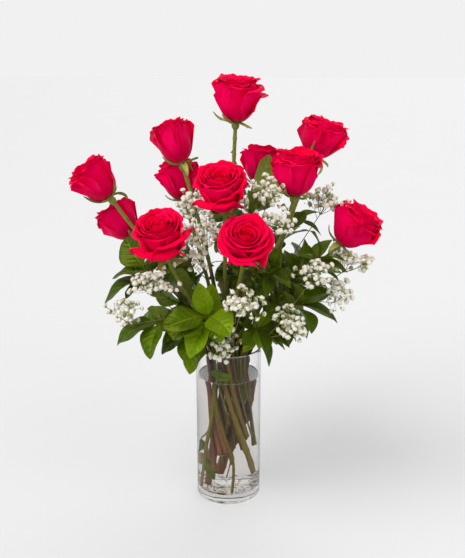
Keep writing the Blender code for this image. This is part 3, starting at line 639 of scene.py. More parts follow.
@dataclass
class Arrangement:
    """Where every stem, leaf and knot of blossom is."""
    feet: Array
    routes: Array
    leaves: dict[int, list[Leaf]]
    sides: dict[int, Array]
    twigs: dict[int, list[list[tuple[Array, Array]]]]

    def stem(self, index: int, count: int) -> Array:
        """A whole stem as a smooth path: straight in the vase, then along its route."""
        foot = self.feet[index]
        bends = self.routes[index][BENDS_DRAWN]
        straight = foot + (bends[0] - foot) * np.array([0.0, 0.25, 0.5, 0.75])[:, None]
        path = smooth_path(np.vstack([straight, bends]), count)
        sunk = np.clip((NECK_HEIGHT - path[:, 2]) / (NECK_HEIGHT - FOOT), 0.0, 1.0) ** 1.2
        share = np.hypot(path[:, 0], path[:, 1]) / FAN_REACH
        path[:, :2] *= (1.0 + FAN * sunk * (1.0 - share))[:, None]
        return path


def stem_goals() -> tuple[Array, Array, Array]:
    """Tip, heading and radius of every stem: roses, then greens, then baby's breath."""
    rows = []
    for rose in ROSES:
        facing = unit(rose.facing)
        tip = np.array(rose.centre) - facing * (rose.height / 2 + CALYX_LENGTH + 2 * GAP)
        rows.append((tip, facing, ROSE_STEM))
    for spray in SALAL + RUSCUS:
        rows.append((np.array(spray.tip), unit(spray.heading), GREEN_STEM))
    for breath in BREATH:
        middle = np.array(breath.clouds[0][:3])
        rows.append((middle, unit(middle - np.array([0.0, 0.0, 0.22])), BREATH_STEM))
    return tuple(np.array(column) for column in zip(*rows))


def arrange() -> Arrangement:
    """Lay out the bouquet: stems first, then leaves, then the baby's breath."""
    tips, headings, radii = stem_goals()
    feet = []
    routes = []
    for index, cell in enumerate(choose_cells(tips)):
        neck = np.array([cell[0], cell[1], NECK_HEIGHT])
        floor = stem_foot(cell)
        rise = neck - floor
        lowest, spread = ROSE_CUTS if index < len(ROSES) else GREEN_CUTS
        cut = lowest + spread * ((index * 7) % 12) / 11.0
        feet.append(floor + rise * (cut / rise[2]))
        reach = np.linalg.norm(tips[index] - neck)
        routes.append(hermite(neck, unit(rise) * reach * NECK_PULL, tips[index],
                              headings[index] * reach * TIP_PULL, ROUTE_POINTS))
    heads = [(np.array(rose.centre), rose.radius + HEAD_MARGIN) for rose in ROSES]
    routes = ease_apart(np.array(routes), radii, heads)
    routes = np.array([straightened(route) for route in routes])

    room = Room()
    for index, route in enumerate(routes):
        halfway = 0.5 * (route[1:] + route[:-1])
        room.fill(np.vstack([route, halfway]), radii[index] + AIR, index)
    for index, rose in enumerate(ROSES):
        room.fill(bloom_rings(rose).reshape(-1, 3), BLOOM_BALL, index)
        room.fill(sepal_rings(rose).reshape(-1, 3), CALYX_BALL, index)
    first_breath = len(ROSES) + len(SALAL) + len(RUSCUS)
    sides = {}
    for number, breath in enumerate(BREATH):
        owner = first_breath + number
        sides[owner] = side_stem(room, routes[owner], breath.clouds[1], owner)
        room.fill(sides[owner], BREATH_STEM + SIDE_AIR, owner)
    leaves = {}
    nodes = {}
    for number, spray in enumerate(SALAL + RUSCUS):
        owner = len(ROSES) + number
        nodes[owner] = []
        placed = [place_leaf(room, routes[owner], spec, spray.pointed, owner, nodes[owner])
                  for spec in spray.leaves]
        leaves[owner] = [leaf for leaf in placed if leaf]
    twigs = {}
    for number, breath in enumerate(BREATH):
        owner = first_breath + number
        branches = (routes[owner], sides[owner])
        twigs[owner] = [place_knots(room, branch, cloud, wanted, owner)
                        for branch, cloud, wanted in zip(branches, breath.clouds, BREATH_KNOTS)]
    room.fill(rim_points(), LEAF_MARGIN, VASE_OWNER)
    for tries in (FILL_TRIES, YOUNG_TRIES):
        for number, spray in enumerate(SALAL + RUSCUS):
            owner = len(ROSES) + number
            leaves[owner] += fill_leaves(room, routes[owner], spray, owner, nodes[owner], tries)
    return Arrangement(np.array(feet), routes, leaves, sides, twigs)


# ---- meshes ----
@dataclass
class Skin:
    """A closed surface: points, four-cornered faces, and a place value for each point.

    A place is (across 0 to 1, run 0 to 1, side or layer 0 to 1, tint 0 to 1); the finishes
    read it, so a colour follows the surface.
    """
    points: Array
    faces: Array
    place: Array


def grid_faces(rows: int, columns: int, wrap: bool = False) -> Array:
    """Quads of a grid whose points are stored row by row; wrap joins the last row to the first."""
    row, column = np.meshgrid(np.arange(rows if wrap else rows - 1), np.arange(columns - 1),
                              indexing="ij")
    here = (row * columns + column).ravel()
    there = (((row + 1) % rows) * columns + column).ravel()
    return np.stack([here, there, there + 1, here + 1], axis=1)


def sheet_skin(middle: Array, half: Array, tint: float) -> Skin:
    """A thin closed sheet about a middle surface.

    Each point goes half the thickness out along the surface's normal, and half in, and a strip
    closes the edge. The layer value is 1 on the side that the normal points to.

    Args:
        middle: the middle surface, across by run by axis.
        half: half the thickness at each point.
        tint: the sheet's own tint, from 0 to 1.

    Returns:
        The closed sheet.
    """
    across, run = middle.shape[:2]
    normal = unit_rows(np.cross(np.gradient(middle, axis=0), np.gradient(middle, axis=1)))
    offset = normal * np.broadcast_to(half, (across, run))[..., None]
    points = np.concatenate([(middle + offset).reshape(-1, 3), (middle - offset).reshape(-1, 3)])
    step_u, step_v = np.meshgrid(np.linspace(0, 1, across), np.linspace(0, 1, run), indexing="ij")
    place = np.stack([np.tile(step_u.ravel(), 2), np.tile(step_v.ravel(), 2),
                      np.repeat([1.0, 0.0], across * run), np.full(2 * across * run, tint)], axis=1)
    front = grid_faces(across, run)
    size = across * run
    edge = np.concatenate([np.arange(run - 1), np.arange(across - 1) * run + run - 1,
                           (across - 1) * run + np.arange(run - 1, 0, -1),
                           np.arange(across - 1, 0, -1) * run])
    after = np.roll(edge, -1)
    strip = np.stack([edge, after, after + size, edge + size], axis=1)
    return Skin(points, np.concatenate([front, front[:, ::-1] + size, strip]), place)


def loft_skin(rings: Array, layer: float = 0.0, tint: float = 0.5,
              run: Optional[Array] = None) -> Skin:
    """A closed surface through rings, each end closed by a fan to its middle.

    Args:
        rings: ring by side by axis, each ring going round the way of travel's right hand.
        layer: the layer value of every point.
        tint: the tint of every point.
        run: the run value of each ring, or None for equal steps.

    Returns:
        The closed surface. An end's fan is made of quads with one corner doubled as triangles.
    """
    count, sides = rings.shape[:2]
    ends = np.stack([rings[0].mean(axis=0), rings[-1].mean(axis=0)])
    points = np.vstack([rings.reshape(-1, 3), ends])
    run = np.linspace(0.0, 1.0, count) if run is None else run
    place = np.stack([np.tile(np.arange(sides) / sides, count), np.repeat(run, sides),
                      np.full(count * sides, layer), np.full(count * sides, tint)], axis=1)
    ends_place = np.array([[0.5, run[0], layer, tint], [0.5, run[-1], layer, tint]])
    side = np.arange(sides)
    after = (side + 1) % sides
    low = np.arange(count - 1)[:, None] * sides
    walls = np.stack([low + side, low + after, low + sides + after, low + sides + side], axis=2)
    top = (count - 1) * sides
    base_fan = np.stack([np.full(sides, count * sides), after, side, side * 0 - 1], axis=1)
    top_fan = np.stack([np.full(sides, count * sides + 1), top + side, top + after, side * 0 - 1],
                       axis=1)
    return Skin(points, np.concatenate([walls.reshape(-1, 4), base_fan, top_fan]),
                np.vstack([place, ends_place]))


def ring_turns(sides: int) -> tuple[Array, Array]:
    """Cosine and sine of equal turns round a ring."""
    turn = np.arange(sides) * 2 * math.pi / sides
    return np.cos(turn), np.sin(turn)


def unit_ring(first: Array, second: Array, sides: int) -> Array:
    """Points round the unit circle of two axes, or of each two in rows of them."""
    cosine, sine = (part[:, None] for part in ring_turns(sides))
    return cosine * first[..., None, :] + sine * second[..., None, :]


def rod_rings(path: Array, radius: Array, sides: int) -> Array:
    """Rings square to a path; one axis of each stays in the path's flattest direction."""
    tangent = unit_rows(np.gradient(path, axis=0))
    spread = np.linalg.svd(tangent - tangent.mean(axis=0) * 0.999 + tangent[:1] * 1e-3)[2]
    hint = np.cross(spread[0], tangent[len(path) // 2])
    hint = spread[-1] if np.linalg.norm(hint) < 0.2 else unit(hint)
    first = unit_rows(hint - tangent * (tangent @ hint)[:, None])
    second = np.cross(tangent, first)
    radius = np.broadcast_to(radius, len(path))[:, None, None]
    return path[:, None] + radius * unit_ring(first, second, sides)


def rod_skin(path: Array, radius: Array, sides: int, layer: float = 0.0,
             tint: float = 0.5) -> Skin:
    """A closed round rod along a path."""
    return loft_skin(rod_rings(path, radius, sides), layer, tint)


def joined(skins: list[Skin]) -> Skin:
    """All the skins as one."""
    offsets = np.cumsum([0] + [len(skin.points) for skin in skins[:-1]])
    faces = np.concatenate([np.where(skin.faces < 0, -1, skin.faces + offset)
                            for skin, offset in zip(skins, offsets)])
    return Skin(np.concatenate([skin.points for skin in skins]), faces,
                np.concatenate([skin.place for skin in skins]))


def turned_skin(profile: Array, sides: int) -> Skin:
    """A closed surface of revolution about Z through (radius, height) points."""
    cosine, sine = ring_turns(sides)
    radius = profile[:, 0][:, None]
    rings = np.stack([radius * cosine, radius * sine,
                      np.broadcast_to(profile[:, 1][:, None], (len(profile), sides))], axis=2)
    return loft_skin(rings)


def stand(name: str, data: bpy.types.ID) -> bpy.types.Object:
    """A new object in the scene that holds the data."""
    obj = bpy.data.objects.new(name, data)
    bpy.context.scene.collection.objects.link(obj)
    return obj


class Piece:
    """Gathers skins and makes one finished object of them."""

    def __init__(self, name: str, slot: str, replaced: Sequence[str] = ()) -> None:
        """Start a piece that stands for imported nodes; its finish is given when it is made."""
        self.name = name
        self.slot = slot
        self.replaced = replaced
        self.skins: list[Skin] = []

    def add(self, *skins: Skin) -> None:
        """Add closed skins to the piece."""
        self.skins.extend(skins)

    def make(self, finish: Material, sharp: Optional[float] = None) -> bpy.types.Object:
        """Join the skins into one mesh, dress it and seat it on the frame.

        Args:
            finish: the piece's material.
            sharp: the angle in degrees past which an edge stays sharp, or None for all smooth.

        Returns:
            The object.
        """
        whole = joined(self.skins)
        mesh = bpy.data.meshes.new(self.name)
        fill_mesh(mesh, whole.points, whole.faces)
        values = mesh.attributes.new("place", "FLOAT_COLOR", "POINT")
        values.data.foreach_set("color", whole.place.astype(np.float32).ravel())
        mesh.materials.append(finish)
        mesh.shade_smooth()
        if sharp is not None:
            mesh.set_sharp_from_angle(angle=math.radians(sharp))
        obj = stand(self.name, mesh)
        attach(obj, "root")
        if self.replaced:
            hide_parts(*self.replaced)
        log.info("%s: %d points, %d faces", self.name, len(whole.points), len(whole.faces))
        return obj


def fill_mesh(mesh: bpy.types.Mesh, points: Array, faces: Array) -> None:
    """Put points and faces into a mesh as whole arrays; a face whose last corner is -1 has three."""
    sizes = np.where(faces[:, 3] < 0, 3, 4)
    corners = faces[faces >= 0].astype(np.int32)
    starts = np.concatenate([[0], np.cumsum(sizes)[:-1]]).astype(np.int32)
    mesh.vertices.add(len(points))
    mesh.vertices.foreach_set("co", points.astype(np.float32).ravel())
    mesh.loops.add(len(corners))
    mesh.loops.foreach_set("vertex_index", corners)
    mesh.polygons.add(len(faces))
    mesh.polygons.foreach_set("loop_start", starts)
    mesh.update(calc_edges=True)
    mesh.validate()


# ---- finishes ----
class Wire:
    """A number or colour on its way through a finish's nodes; arithmetic adds Math nodes."""

    def __init__(self, bench: "Bench", socket: bpy.types.NodeSocket) -> None:
        """Hold a socket of the bench's node tree."""
        self.bench = bench
        self.socket = socket

    def __add__(self, other: Any) -> "Wire":
        """This and the other together."""
        return self.bench.maths("ADD", self, other)

    def __sub__(self, other: Any) -> "Wire":
        """This less the other."""
        return self.bench.maths("SUBTRACT", self, other)

    def __rsub__(self, other: Any) -> "Wire":
        """The other less this."""
        return self.bench.maths("SUBTRACT", other, self)

    def __mul__(self, other: Any) -> "Wire":
        """This times the other."""
        return self.bench.maths("MULTIPLY", self, other)

    def __abs__(self) -> "Wire":
        """This without its sign."""
        return self.bench.maths("ABSOLUTE", self)

    __radd__ = __add__
    __rmul__ = __mul__

    def fraction(self) -> "Wire":
        """What is left of this over whole numbers."""
        return self.bench.maths("FRACT", self)

    def within(self, low: float, high: float) -> "Wire":
        """0 where this is below low, 1 above high, and a smooth step between."""
        return self.bench.node("ShaderNodeMapRange", {"interpolation_type": "SMOOTHSTEP"},
                               {0: self, 1: low, 2: high})


class Bench:
    """One finish's material and the means to add nodes to it."""

    def __init__(self, name: str) -> None:
        """A new Principled material."""
        self.material = bpy.data.materials.new(name)
        self.material.use_nodes = True
        self.tree = self.material.node_tree
        self.shader = self.tree.nodes["Principled BSDF"]

    def node(self, kind: str, settings: dict[str, Any], values: dict[Any, Any],
             output: Any = 0) -> Wire:
        """Add a node.

        Args:
            kind: the node's type.
            settings: its settings, set first.
            values: what each input takes, a constant or a Wire, by number or name.
            output: which output to return.

        Returns:
            The output's wire.
        """
        made = self.tree.nodes.new(kind)
        for key, value in settings.items():
            setattr(made, key, value)
        for key, value in values.items():
            self.feed(made.inputs[key], value)
        return Wire(self, made.outputs[output])

    def feed(self, socket: bpy.types.NodeSocket, value: Any) -> None:
        """Link a wire to an input, or set the input's constant."""
        if isinstance(value, Wire):
            self.tree.links.new(value.socket, socket)
        elif socket.type == "RGBA":
            socket.default_value = (*value, 1.0)
        else:
            socket.default_value = value

    def maths(self, operation: str, *values: Any) -> Wire:
        """A Math node on one or two values."""
        return self.node("ShaderNodeMath", {"operation": operation}, dict(enumerate(values)))

    def blend(self, factor: Any, first: Any, second: Any) -> Wire:
        """The first colour where the factor is 0 and the second where it is 1."""
        return self.node("ShaderNodeMix", {"data_type": "RGBA"}, {0: factor, 6: first, 7: second},
                         output=2)

    def shade(self, colour: Any, factor: Any) -> Wire:
        """The colour with its light scaled by the factor."""
        return self.node("ShaderNodeVectorMath", {"operation": "SCALE"},
                         {0: colour, "Scale": factor})

    def place(self) -> tuple[Wire, Wire, Wire, Wire]:
        """The surface's own across, run, layer and tint."""
        source = self.node("ShaderNodeAttribute", {"attribute_name": "place"}, {}, "Color")
        parts = self.node("ShaderNodeSeparateColor", {}, {0: source}).socket.node.outputs
        alpha = source.socket.node.outputs["Alpha"]
        return tuple(Wire(self, socket) for socket in (parts[0], parts[1], parts[2], alpha))

    def spot(self) -> Wire:
        """The point on the object."""
        return self.node("ShaderNodeTexCoord", {}, {}, "Object")

    def height(self) -> Wire:
        """The point's height on the object."""
        return self.node("ShaderNodeSeparateXYZ", {}, {0: self.spot()}, 2)

    def join(self, x: Any, y: Any, z: Any) -> Wire:
        """A vector of three values."""
        return self.node("ShaderNodeCombineXYZ", {}, {0: x, 1: y, 2: z})

    def noise(self, scale: float, detail: float = 2.0, where: Optional[Wire] = None) -> Wire:
        """Soft noise from 0 to 1 at a vector, or at the point on the object."""
        return self.node("ShaderNodeTexNoise", {}, {"Vector": where or self.spot(),
                                                    "Scale": scale, "Detail": detail}, "Fac")

    def bump(self, height: Any, distance: float, strength: float = 1.0) -> Wire:
        """A normal pushed by a height given in parts of the distance."""
        return self.node("ShaderNodeBump", {}, {"Height": height, "Distance": distance,
                                                "Strength": strength}, "Normal")

    def dress(self, values: dict[str, Any]) -> Material:
        """Feed the shader's inputs by name and return the finished material."""
        for name, value in values.items():
            self.feed(self.shader.inputs[name], value)
        return self.material


@dataclass(frozen=True)
class PetalFinish:
    """Velvety petals: scarlet at the heart, crimson outside, pinker on their backs, veined, and painted
    shade low on the outer petals.
    """
    heart: Colour = (0.98, 0.0015, 0.016)
    face: Colour = (0.92, 0.0003, 0.046)
    back: Colour = (0.90, 0.0003, 0.086)
    deep: Colour = (0.42, 0.0001, 0.018)
    pale: Colour = (0.99, 0.0060, 0.170)
    foot: Colour = (0.76, 0.08, 0.08)
    roughness: float = 0.50

    def make(self) -> Material:
        """Build the material; tint is near 0 in the heart's petals and near 1 in the outer ones."""
        bench = Bench("petal")
        across, run, back, tint = bench.place()
        streak = bench.noise(1.0, 3.0, bench.join(across * 46.0, run * 3.0, tint * 37.0))
        cloud = bench.noise(90.0)
        chance = (tint * 17.3).fraction()
        base = bench.blend(back, self.face, self.back)
        base = bench.blend(1.0 - tint.within(0.05, 0.55), base, self.heart)
        base = bench.blend((chance * 0.6 + cloud).within(0.72, 1.35) * 0.45, base, self.pale)
        base = bench.blend((0.9 - chance * 0.5 - cloud * 0.6).within(0.2, 0.8) * 0.42, base,
                           self.deep)
        base = bench.blend((streak - 0.40).within(0.0, 0.5) * 0.26, base, self.deep)
        # Painted shade: the outer petals turn deep crimson towards their feet, standing in for the
        # shade under the head.
        low = (1.0 - run.within(0.12, 0.62)) * tint.within(0.45, 0.75)
        base = bench.blend(low * (0.25 + chance * 0.40), base, self.deep)
        rim = run.within(0.955, 1.0) * back * 0.4
        base = bench.blend(rim, base, self.deep)
        base = bench.blend((1.0 - run.within(0.02, 0.14)) * 0.4, base, self.foot)
        normal = bench.bump(streak + cloud * 0.5, 0.0004, 0.6)
        return bench.dress({
            "Base Color": base, "Roughness": self.roughness + streak * 0.12, "Normal": normal,
            "Specular IOR Level": 0.07, "Specular Tint": (1.0, 0.03, 0.30),
            "Sheen Weight": 0.20, "Sheen Roughness": 0.35, "Sheen Tint": (1.0, 0.01, 0.28),
            "Subsurface Weight": 0.12, "Subsurface Radius": (1.0, 0.03, 0.10),
            "Subsurface Scale": 0.0025})


@dataclass(frozen=True)
class SepalFinish:
    """Fresh green sepals and hips, paler inside, with a reddish blush at some edges."""
    outside: Colour = (0.210, 0.250, 0.028)
    inside: Colour = (0.34, 0.38, 0.08)
    blush: Colour = (0.26, 0.085, 0.030)

    def make(self) -> Material:
        """Build the material from the sepals' own values."""
        bench = Bench("sepal")
        across, run, layer, tint = bench.place()
        edge = abs(across - 0.5).within(0.34, 0.5)
        grain = bench.noise(3.0, 2.0, bench.join(across * 9.0, run * 2.0, tint * 21.0))
        base = bench.blend(layer, self.outside, self.inside)
        base = bench.blend(edge * tint * 0.3, base, self.blush)
        base = bench.shade(base, 0.75 + grain * 0.5)
        normal = bench.bump(grain, 0.0004, 0.6)
        return bench.dress({"Base Color": base, "Roughness": 0.48 + grain * 0.15,
                            "Normal": normal, "Subsurface Weight": 0.08,
                            "Subsurface Scale": 0.001})


@dataclass(frozen=True)
class CaneFinish:
    """Rose canes: green under the head, then brown; in the water olive or reddish, cut pale."""
    young: Colour = (0.190, 0.215, 0.022)
    old: Colour = (0.046, 0.020, 0.010)
    olive: Colour = (0.175, 0.118, 0.008)
    russet: Colour = (0.150, 0.054, 0.018)
    thorn: Colour = (0.24, 0.060, 0.028)
    heart: Colour = (0.50, 0.42, 0.20)

    def make(self) -> Material:
        """Build the material: run is 0 at the cut and 1 under the head; layer is 1 on thorns."""
        bench = Bench("rose_stem")
        _, run, layer, tint = bench.place()
        blotch = bench.noise(260.0, 4.0)
        patch = bench.noise(45.0)
        grain = bench.noise(2.0, 3.0, bench.join(tint * 31.0, run * 4.0, patch * 2.0))
        base = bench.blend((run + (patch - 0.5) * 0.35).within(0.45, 0.86), self.old, self.young)
        wet = bench.blend((tint + (grain - 0.5) * 0.9).within(0.25, 0.75), self.olive, self.russet)
        base = bench.blend(1.0 - run.within(0.34, 0.50), base, wet)
        base = bench.blend(blotch.within(0.54, 0.74) * 0.5, base, self.old)
        base = bench.blend(1.0 - run.within(0.0005, 0.0011), base, self.heart)
        base = bench.blend(layer, base, self.thorn)
        normal = bench.bump(blotch + patch, 0.0006, 0.6)
        return bench.dress({"Base Color": base, "Roughness": 0.40 + blotch * 0.25,
                            "Specular IOR Level": 0.35, "Normal": normal})


@dataclass(frozen=True)
class LeafFinish:
    """Leaves: glossy green above with paler veins, dull and pale below, with painted shade in the vase.
    """
    name: str
    dark: Colour
    bright: Colour
    under: Colour
    vein: Colour
    twig: Colour
    veins: float
    slope: float
    roughness: float
    vein_strength: float = 0.5
    tone_and_painted_light_start: float = 0.15

    def make(self) -> Material:
        """Build the material: layer is 1 above, 0 below and 0.5 on stalks and stems."""
        bench = Bench(self.name)
        across, run, layer, tint = bench.place()
        aside = abs(across - 0.5) * 2.0
        wave = abs((run * self.veins - aside * self.slope).fraction() - 0.5) * 2.0
        laterals = wave.within(0.80, 1.0) * (1.0 - aside.within(0.55, 1.0))
        midrib = 1.0 - aside.within(0.02, 0.07)
        net = bench.noise(420.0)
        mottle = bench.noise(60.0)
        above = layer.within(0.6, 0.9)
        stalk = layer.within(0.2, 0.4) * (1.0 - above)
        # The tint from leaf_tint mixes dark and bright green: the leaf's own random tone, plus painted
        # light and painted shade by place.
        tone_and_painted_light = (tint + (mottle - 0.5) * 0.45 - run * 0.15).within(self.tone_and_painted_light_start, 1.0)
        base = bench.blend(tone_and_painted_light, self.dark, self.bright)
        base = bench.blend(above, self.under, base)
        lines = bench.maths("MAXIMUM", laterals * 0.6, midrib)
        base = bench.blend(lines * self.vein_strength, base, self.vein)
        base = bench.shade(base, 0.82 + net * 0.36)
        # Painted shade: the blades darken from the vase's rim downwards and most deep in the water;
        # stalks keep their colour.
        height = bench.height()
        base = bench.shade(base, 0.40 + height.within(0.12, WATER_TOP) * 0.20
                           + height.within(WATER_TOP, VASE_HEIGHT) * 0.40)
        base = bench.blend(stalk, base, self.twig)
        normal = bench.bump(net * 0.35 + lines * -0.9 * (above - 0.5), 0.0005, 0.6)
        rough = self.roughness + (1.0 - above) * 0.22 + mottle * 0.10
        return bench.dress({"Base Color": base, "Roughness": rough, "Normal": normal,
                            "Specular IOR Level": 0.34, "Specular Tint": (0.90, 1.0, 0.12),
                            "Subsurface Weight": 0.06,
                            "Subsurface Radius": (0.3, 1.0, 0.15), "Subsurface Scale": 0.0015})


@dataclass(frozen=True)
class BlossomFinish:
    """White double blossoms in small green cups, with a faint painted glow of their own colour."""
    white: Colour = (0.79, 0.76, 0.67)
    cream: Colour = (0.70, 0.65, 0.43)
    cup: Colour = (0.27, 0.30, 0.080)

    def make(self) -> Material:
        """Build the material: layer is 0 on the cup and 1 on the petals."""
        bench = Bench("blossom")
        _, run, layer, tint = bench.place()
        frill = bench.noise(1500.0)
        base = bench.blend(run.within(0.72, 1.0) * 0.35, self.white, self.cream)
        base = bench.shade(base, 0.90 + frill * 0.16 - tint * 0.08)
        base = bench.blend(layer.within(0.25, 0.6), self.cup, base)
        normal = bench.bump(frill, 0.0007, 0.8)
        # Painted light: the blossoms glow faintly in their own colour, which lifts their shaded sides.
        return bench.dress({"Base Color": base, "Roughness": 0.62 + frill * 0.1,
                            "Normal": normal, "Subsurface Weight": 0.30,
                            "Emission Color": base, "Emission Strength": 0.13,
                            "Subsurface Radius": (1.0, 1.0, 0.8), "Subsurface Scale": 0.001})


@dataclass(frozen=True)
class TwigFinish:
    """Thin green twigs with a grey bloom."""
    name: str = "twig"
    green: Colour = (0.125, 0.125, 0.012)
    grey: Colour = (0.180, 0.165, 0.045)

    def make(self) -> Material:
        """Build the material from noise on the object."""
        bench = Bench(self.name)
        patch = bench.noise(160.0, 3.0)
        base = bench.blend(patch.within(0.35, 0.7), self.green, self.grey)
        return bench.dress({"Base Color": base, "Roughness": 0.5 + patch * 0.15,
                            "Normal": bench.bump(patch, 0.0003, 0.4)})


@dataclass(frozen=True)
class GlassFinish:
    """Clear glass or water: deeper in colour edge on, and brighter in gloss above its crest."""
    name: str
    tint: Colour
    edge: Colour
    ior: float
    ripple_scale: float
    ripple: float
    crest: float

    def make(self) -> Material:
        """Build the material from noise on the object."""
        bench = Bench(self.name)
        ripple = bench.noise(self.ripple_scale, 1.0)
        facing = bench.node("ShaderNodeLayerWeight", {}, {"Blend": 0.5}, "Facing")
        base = bench.blend(ripple * 0.2, self.tint, (1.0, 1.0, 1.0))
        base = bench.blend(facing.within(0.55, 0.97), base, self.edge)
        smear = bench.noise(30.0, 3.0).within(0.60, 0.80)
        height = bench.height()
        return bench.dress({"Base Color": base, "Roughness": smear * 0.01, "IOR": self.ior,
                            "Transmission Weight": 1.0, "Specular IOR Level": 0.15,
                            "Specular Tint": (0.25, 0.25, 0.25),
                            "Coat Weight": height.within(self.crest, self.crest + 0.0006),
                            "Coat IOR": 1.9, "Coat Roughness": 0.10,
                            "Normal": bench.bump(ripple, self.ripple, 0.6)})


@dataclass(frozen=True)
class FloorFinish:
    """A matt near-white floor."""
    colour: Colour = (0.683, 0.683, 0.688)

    def make(self) -> Material:
        """Build the material with a barely seen unevenness."""
        bench = Bench("studio_floor")
        cloud = bench.noise(2.0)
        return bench.dress({"Base Color": bench.shade(self.colour, 0.99 + cloud * 0.02),
                            "Roughness": 0.6, "Specular IOR Level": 0.3})


# ---- roses ----
# A petal's profile from its foot to its rim as (radius, height), in hundredths of the head's, at
# equal steps, for petals at five depths from the heart out: in a shut head and in an open one.
PETAL_DEPTHS = (0.0, 0.30, 0.62, 0.84, 1.0)
SHUT_PROFILES = np.array([
    [(2, 10), (5, 30), (8, 50), (9, 68), (8, 80), (5, 88), (3, 91)],
    [(5, 6), (20, 20), (29, 42), (33, 63), (31, 80), (29, 92), (31, 97.5)],
    [(8, 3), (34, 14), (52, 33), (62, 54), (61, 76), (59, 92), (66, 100)],
    [(9, 1), (40, 9), (63, 26), (75, 48), (77, 72), (79, 90), (90, 97)],
    [(10, 0), (44, 6), (69, 22), (82, 45), (85, 70), (91, 88), (105, 91)],
]) / 100
OPEN_PROFILES = np.array([
    [(2, 10), (5, 28), (8, 46), (10, 62), (9, 74), (6, 82), (4, 85)],
    [(5, 6), (21, 18), (31, 38), (36, 58), (36, 75), (36, 87), (40, 93)],
    [(8, 3), (36, 12), (55, 30), (66, 50), (67, 72), (69, 88), (78, 96)],
    [(9, 1), (42, 8), (65, 23), (79, 44), (83, 66), (89, 83), (102, 88)],
    [(10, 0), (46, 5), (73, 18), (88, 38), (95, 60), (105, 74), (120, 73)],
]) / 100


# How a petal's habits run with its depth, from 0 in the heart to 1 outside: depths, then values.
HALF_ANGLES = ((0, 0.15, 0.4, 0.75, 1), (2.7, 2.0, 1.35, 1.15, 1.12))
PEAKS = ((0, 0.3, 1), (0.3, 0.8, 1.0))
RIPPLES = ((0, 0.3, 1), (0.0, 0.014, 0.045))
FALLS = ((0, 0.3, 1), (0.05, 0.16, 0.30))
CURLS = ((0.1, 0.4, 1.0), (0.0, 0.35, 1.0))
TUCKS = ((0, 0.2, 1), (0.4, 1.0, 0.8))
# The waves that run round a petal's rim: how many radians of each to one of the head, height.
WAVES = ((2.1, 1.0), (4.3, 0.6), (8.7, 0.35))


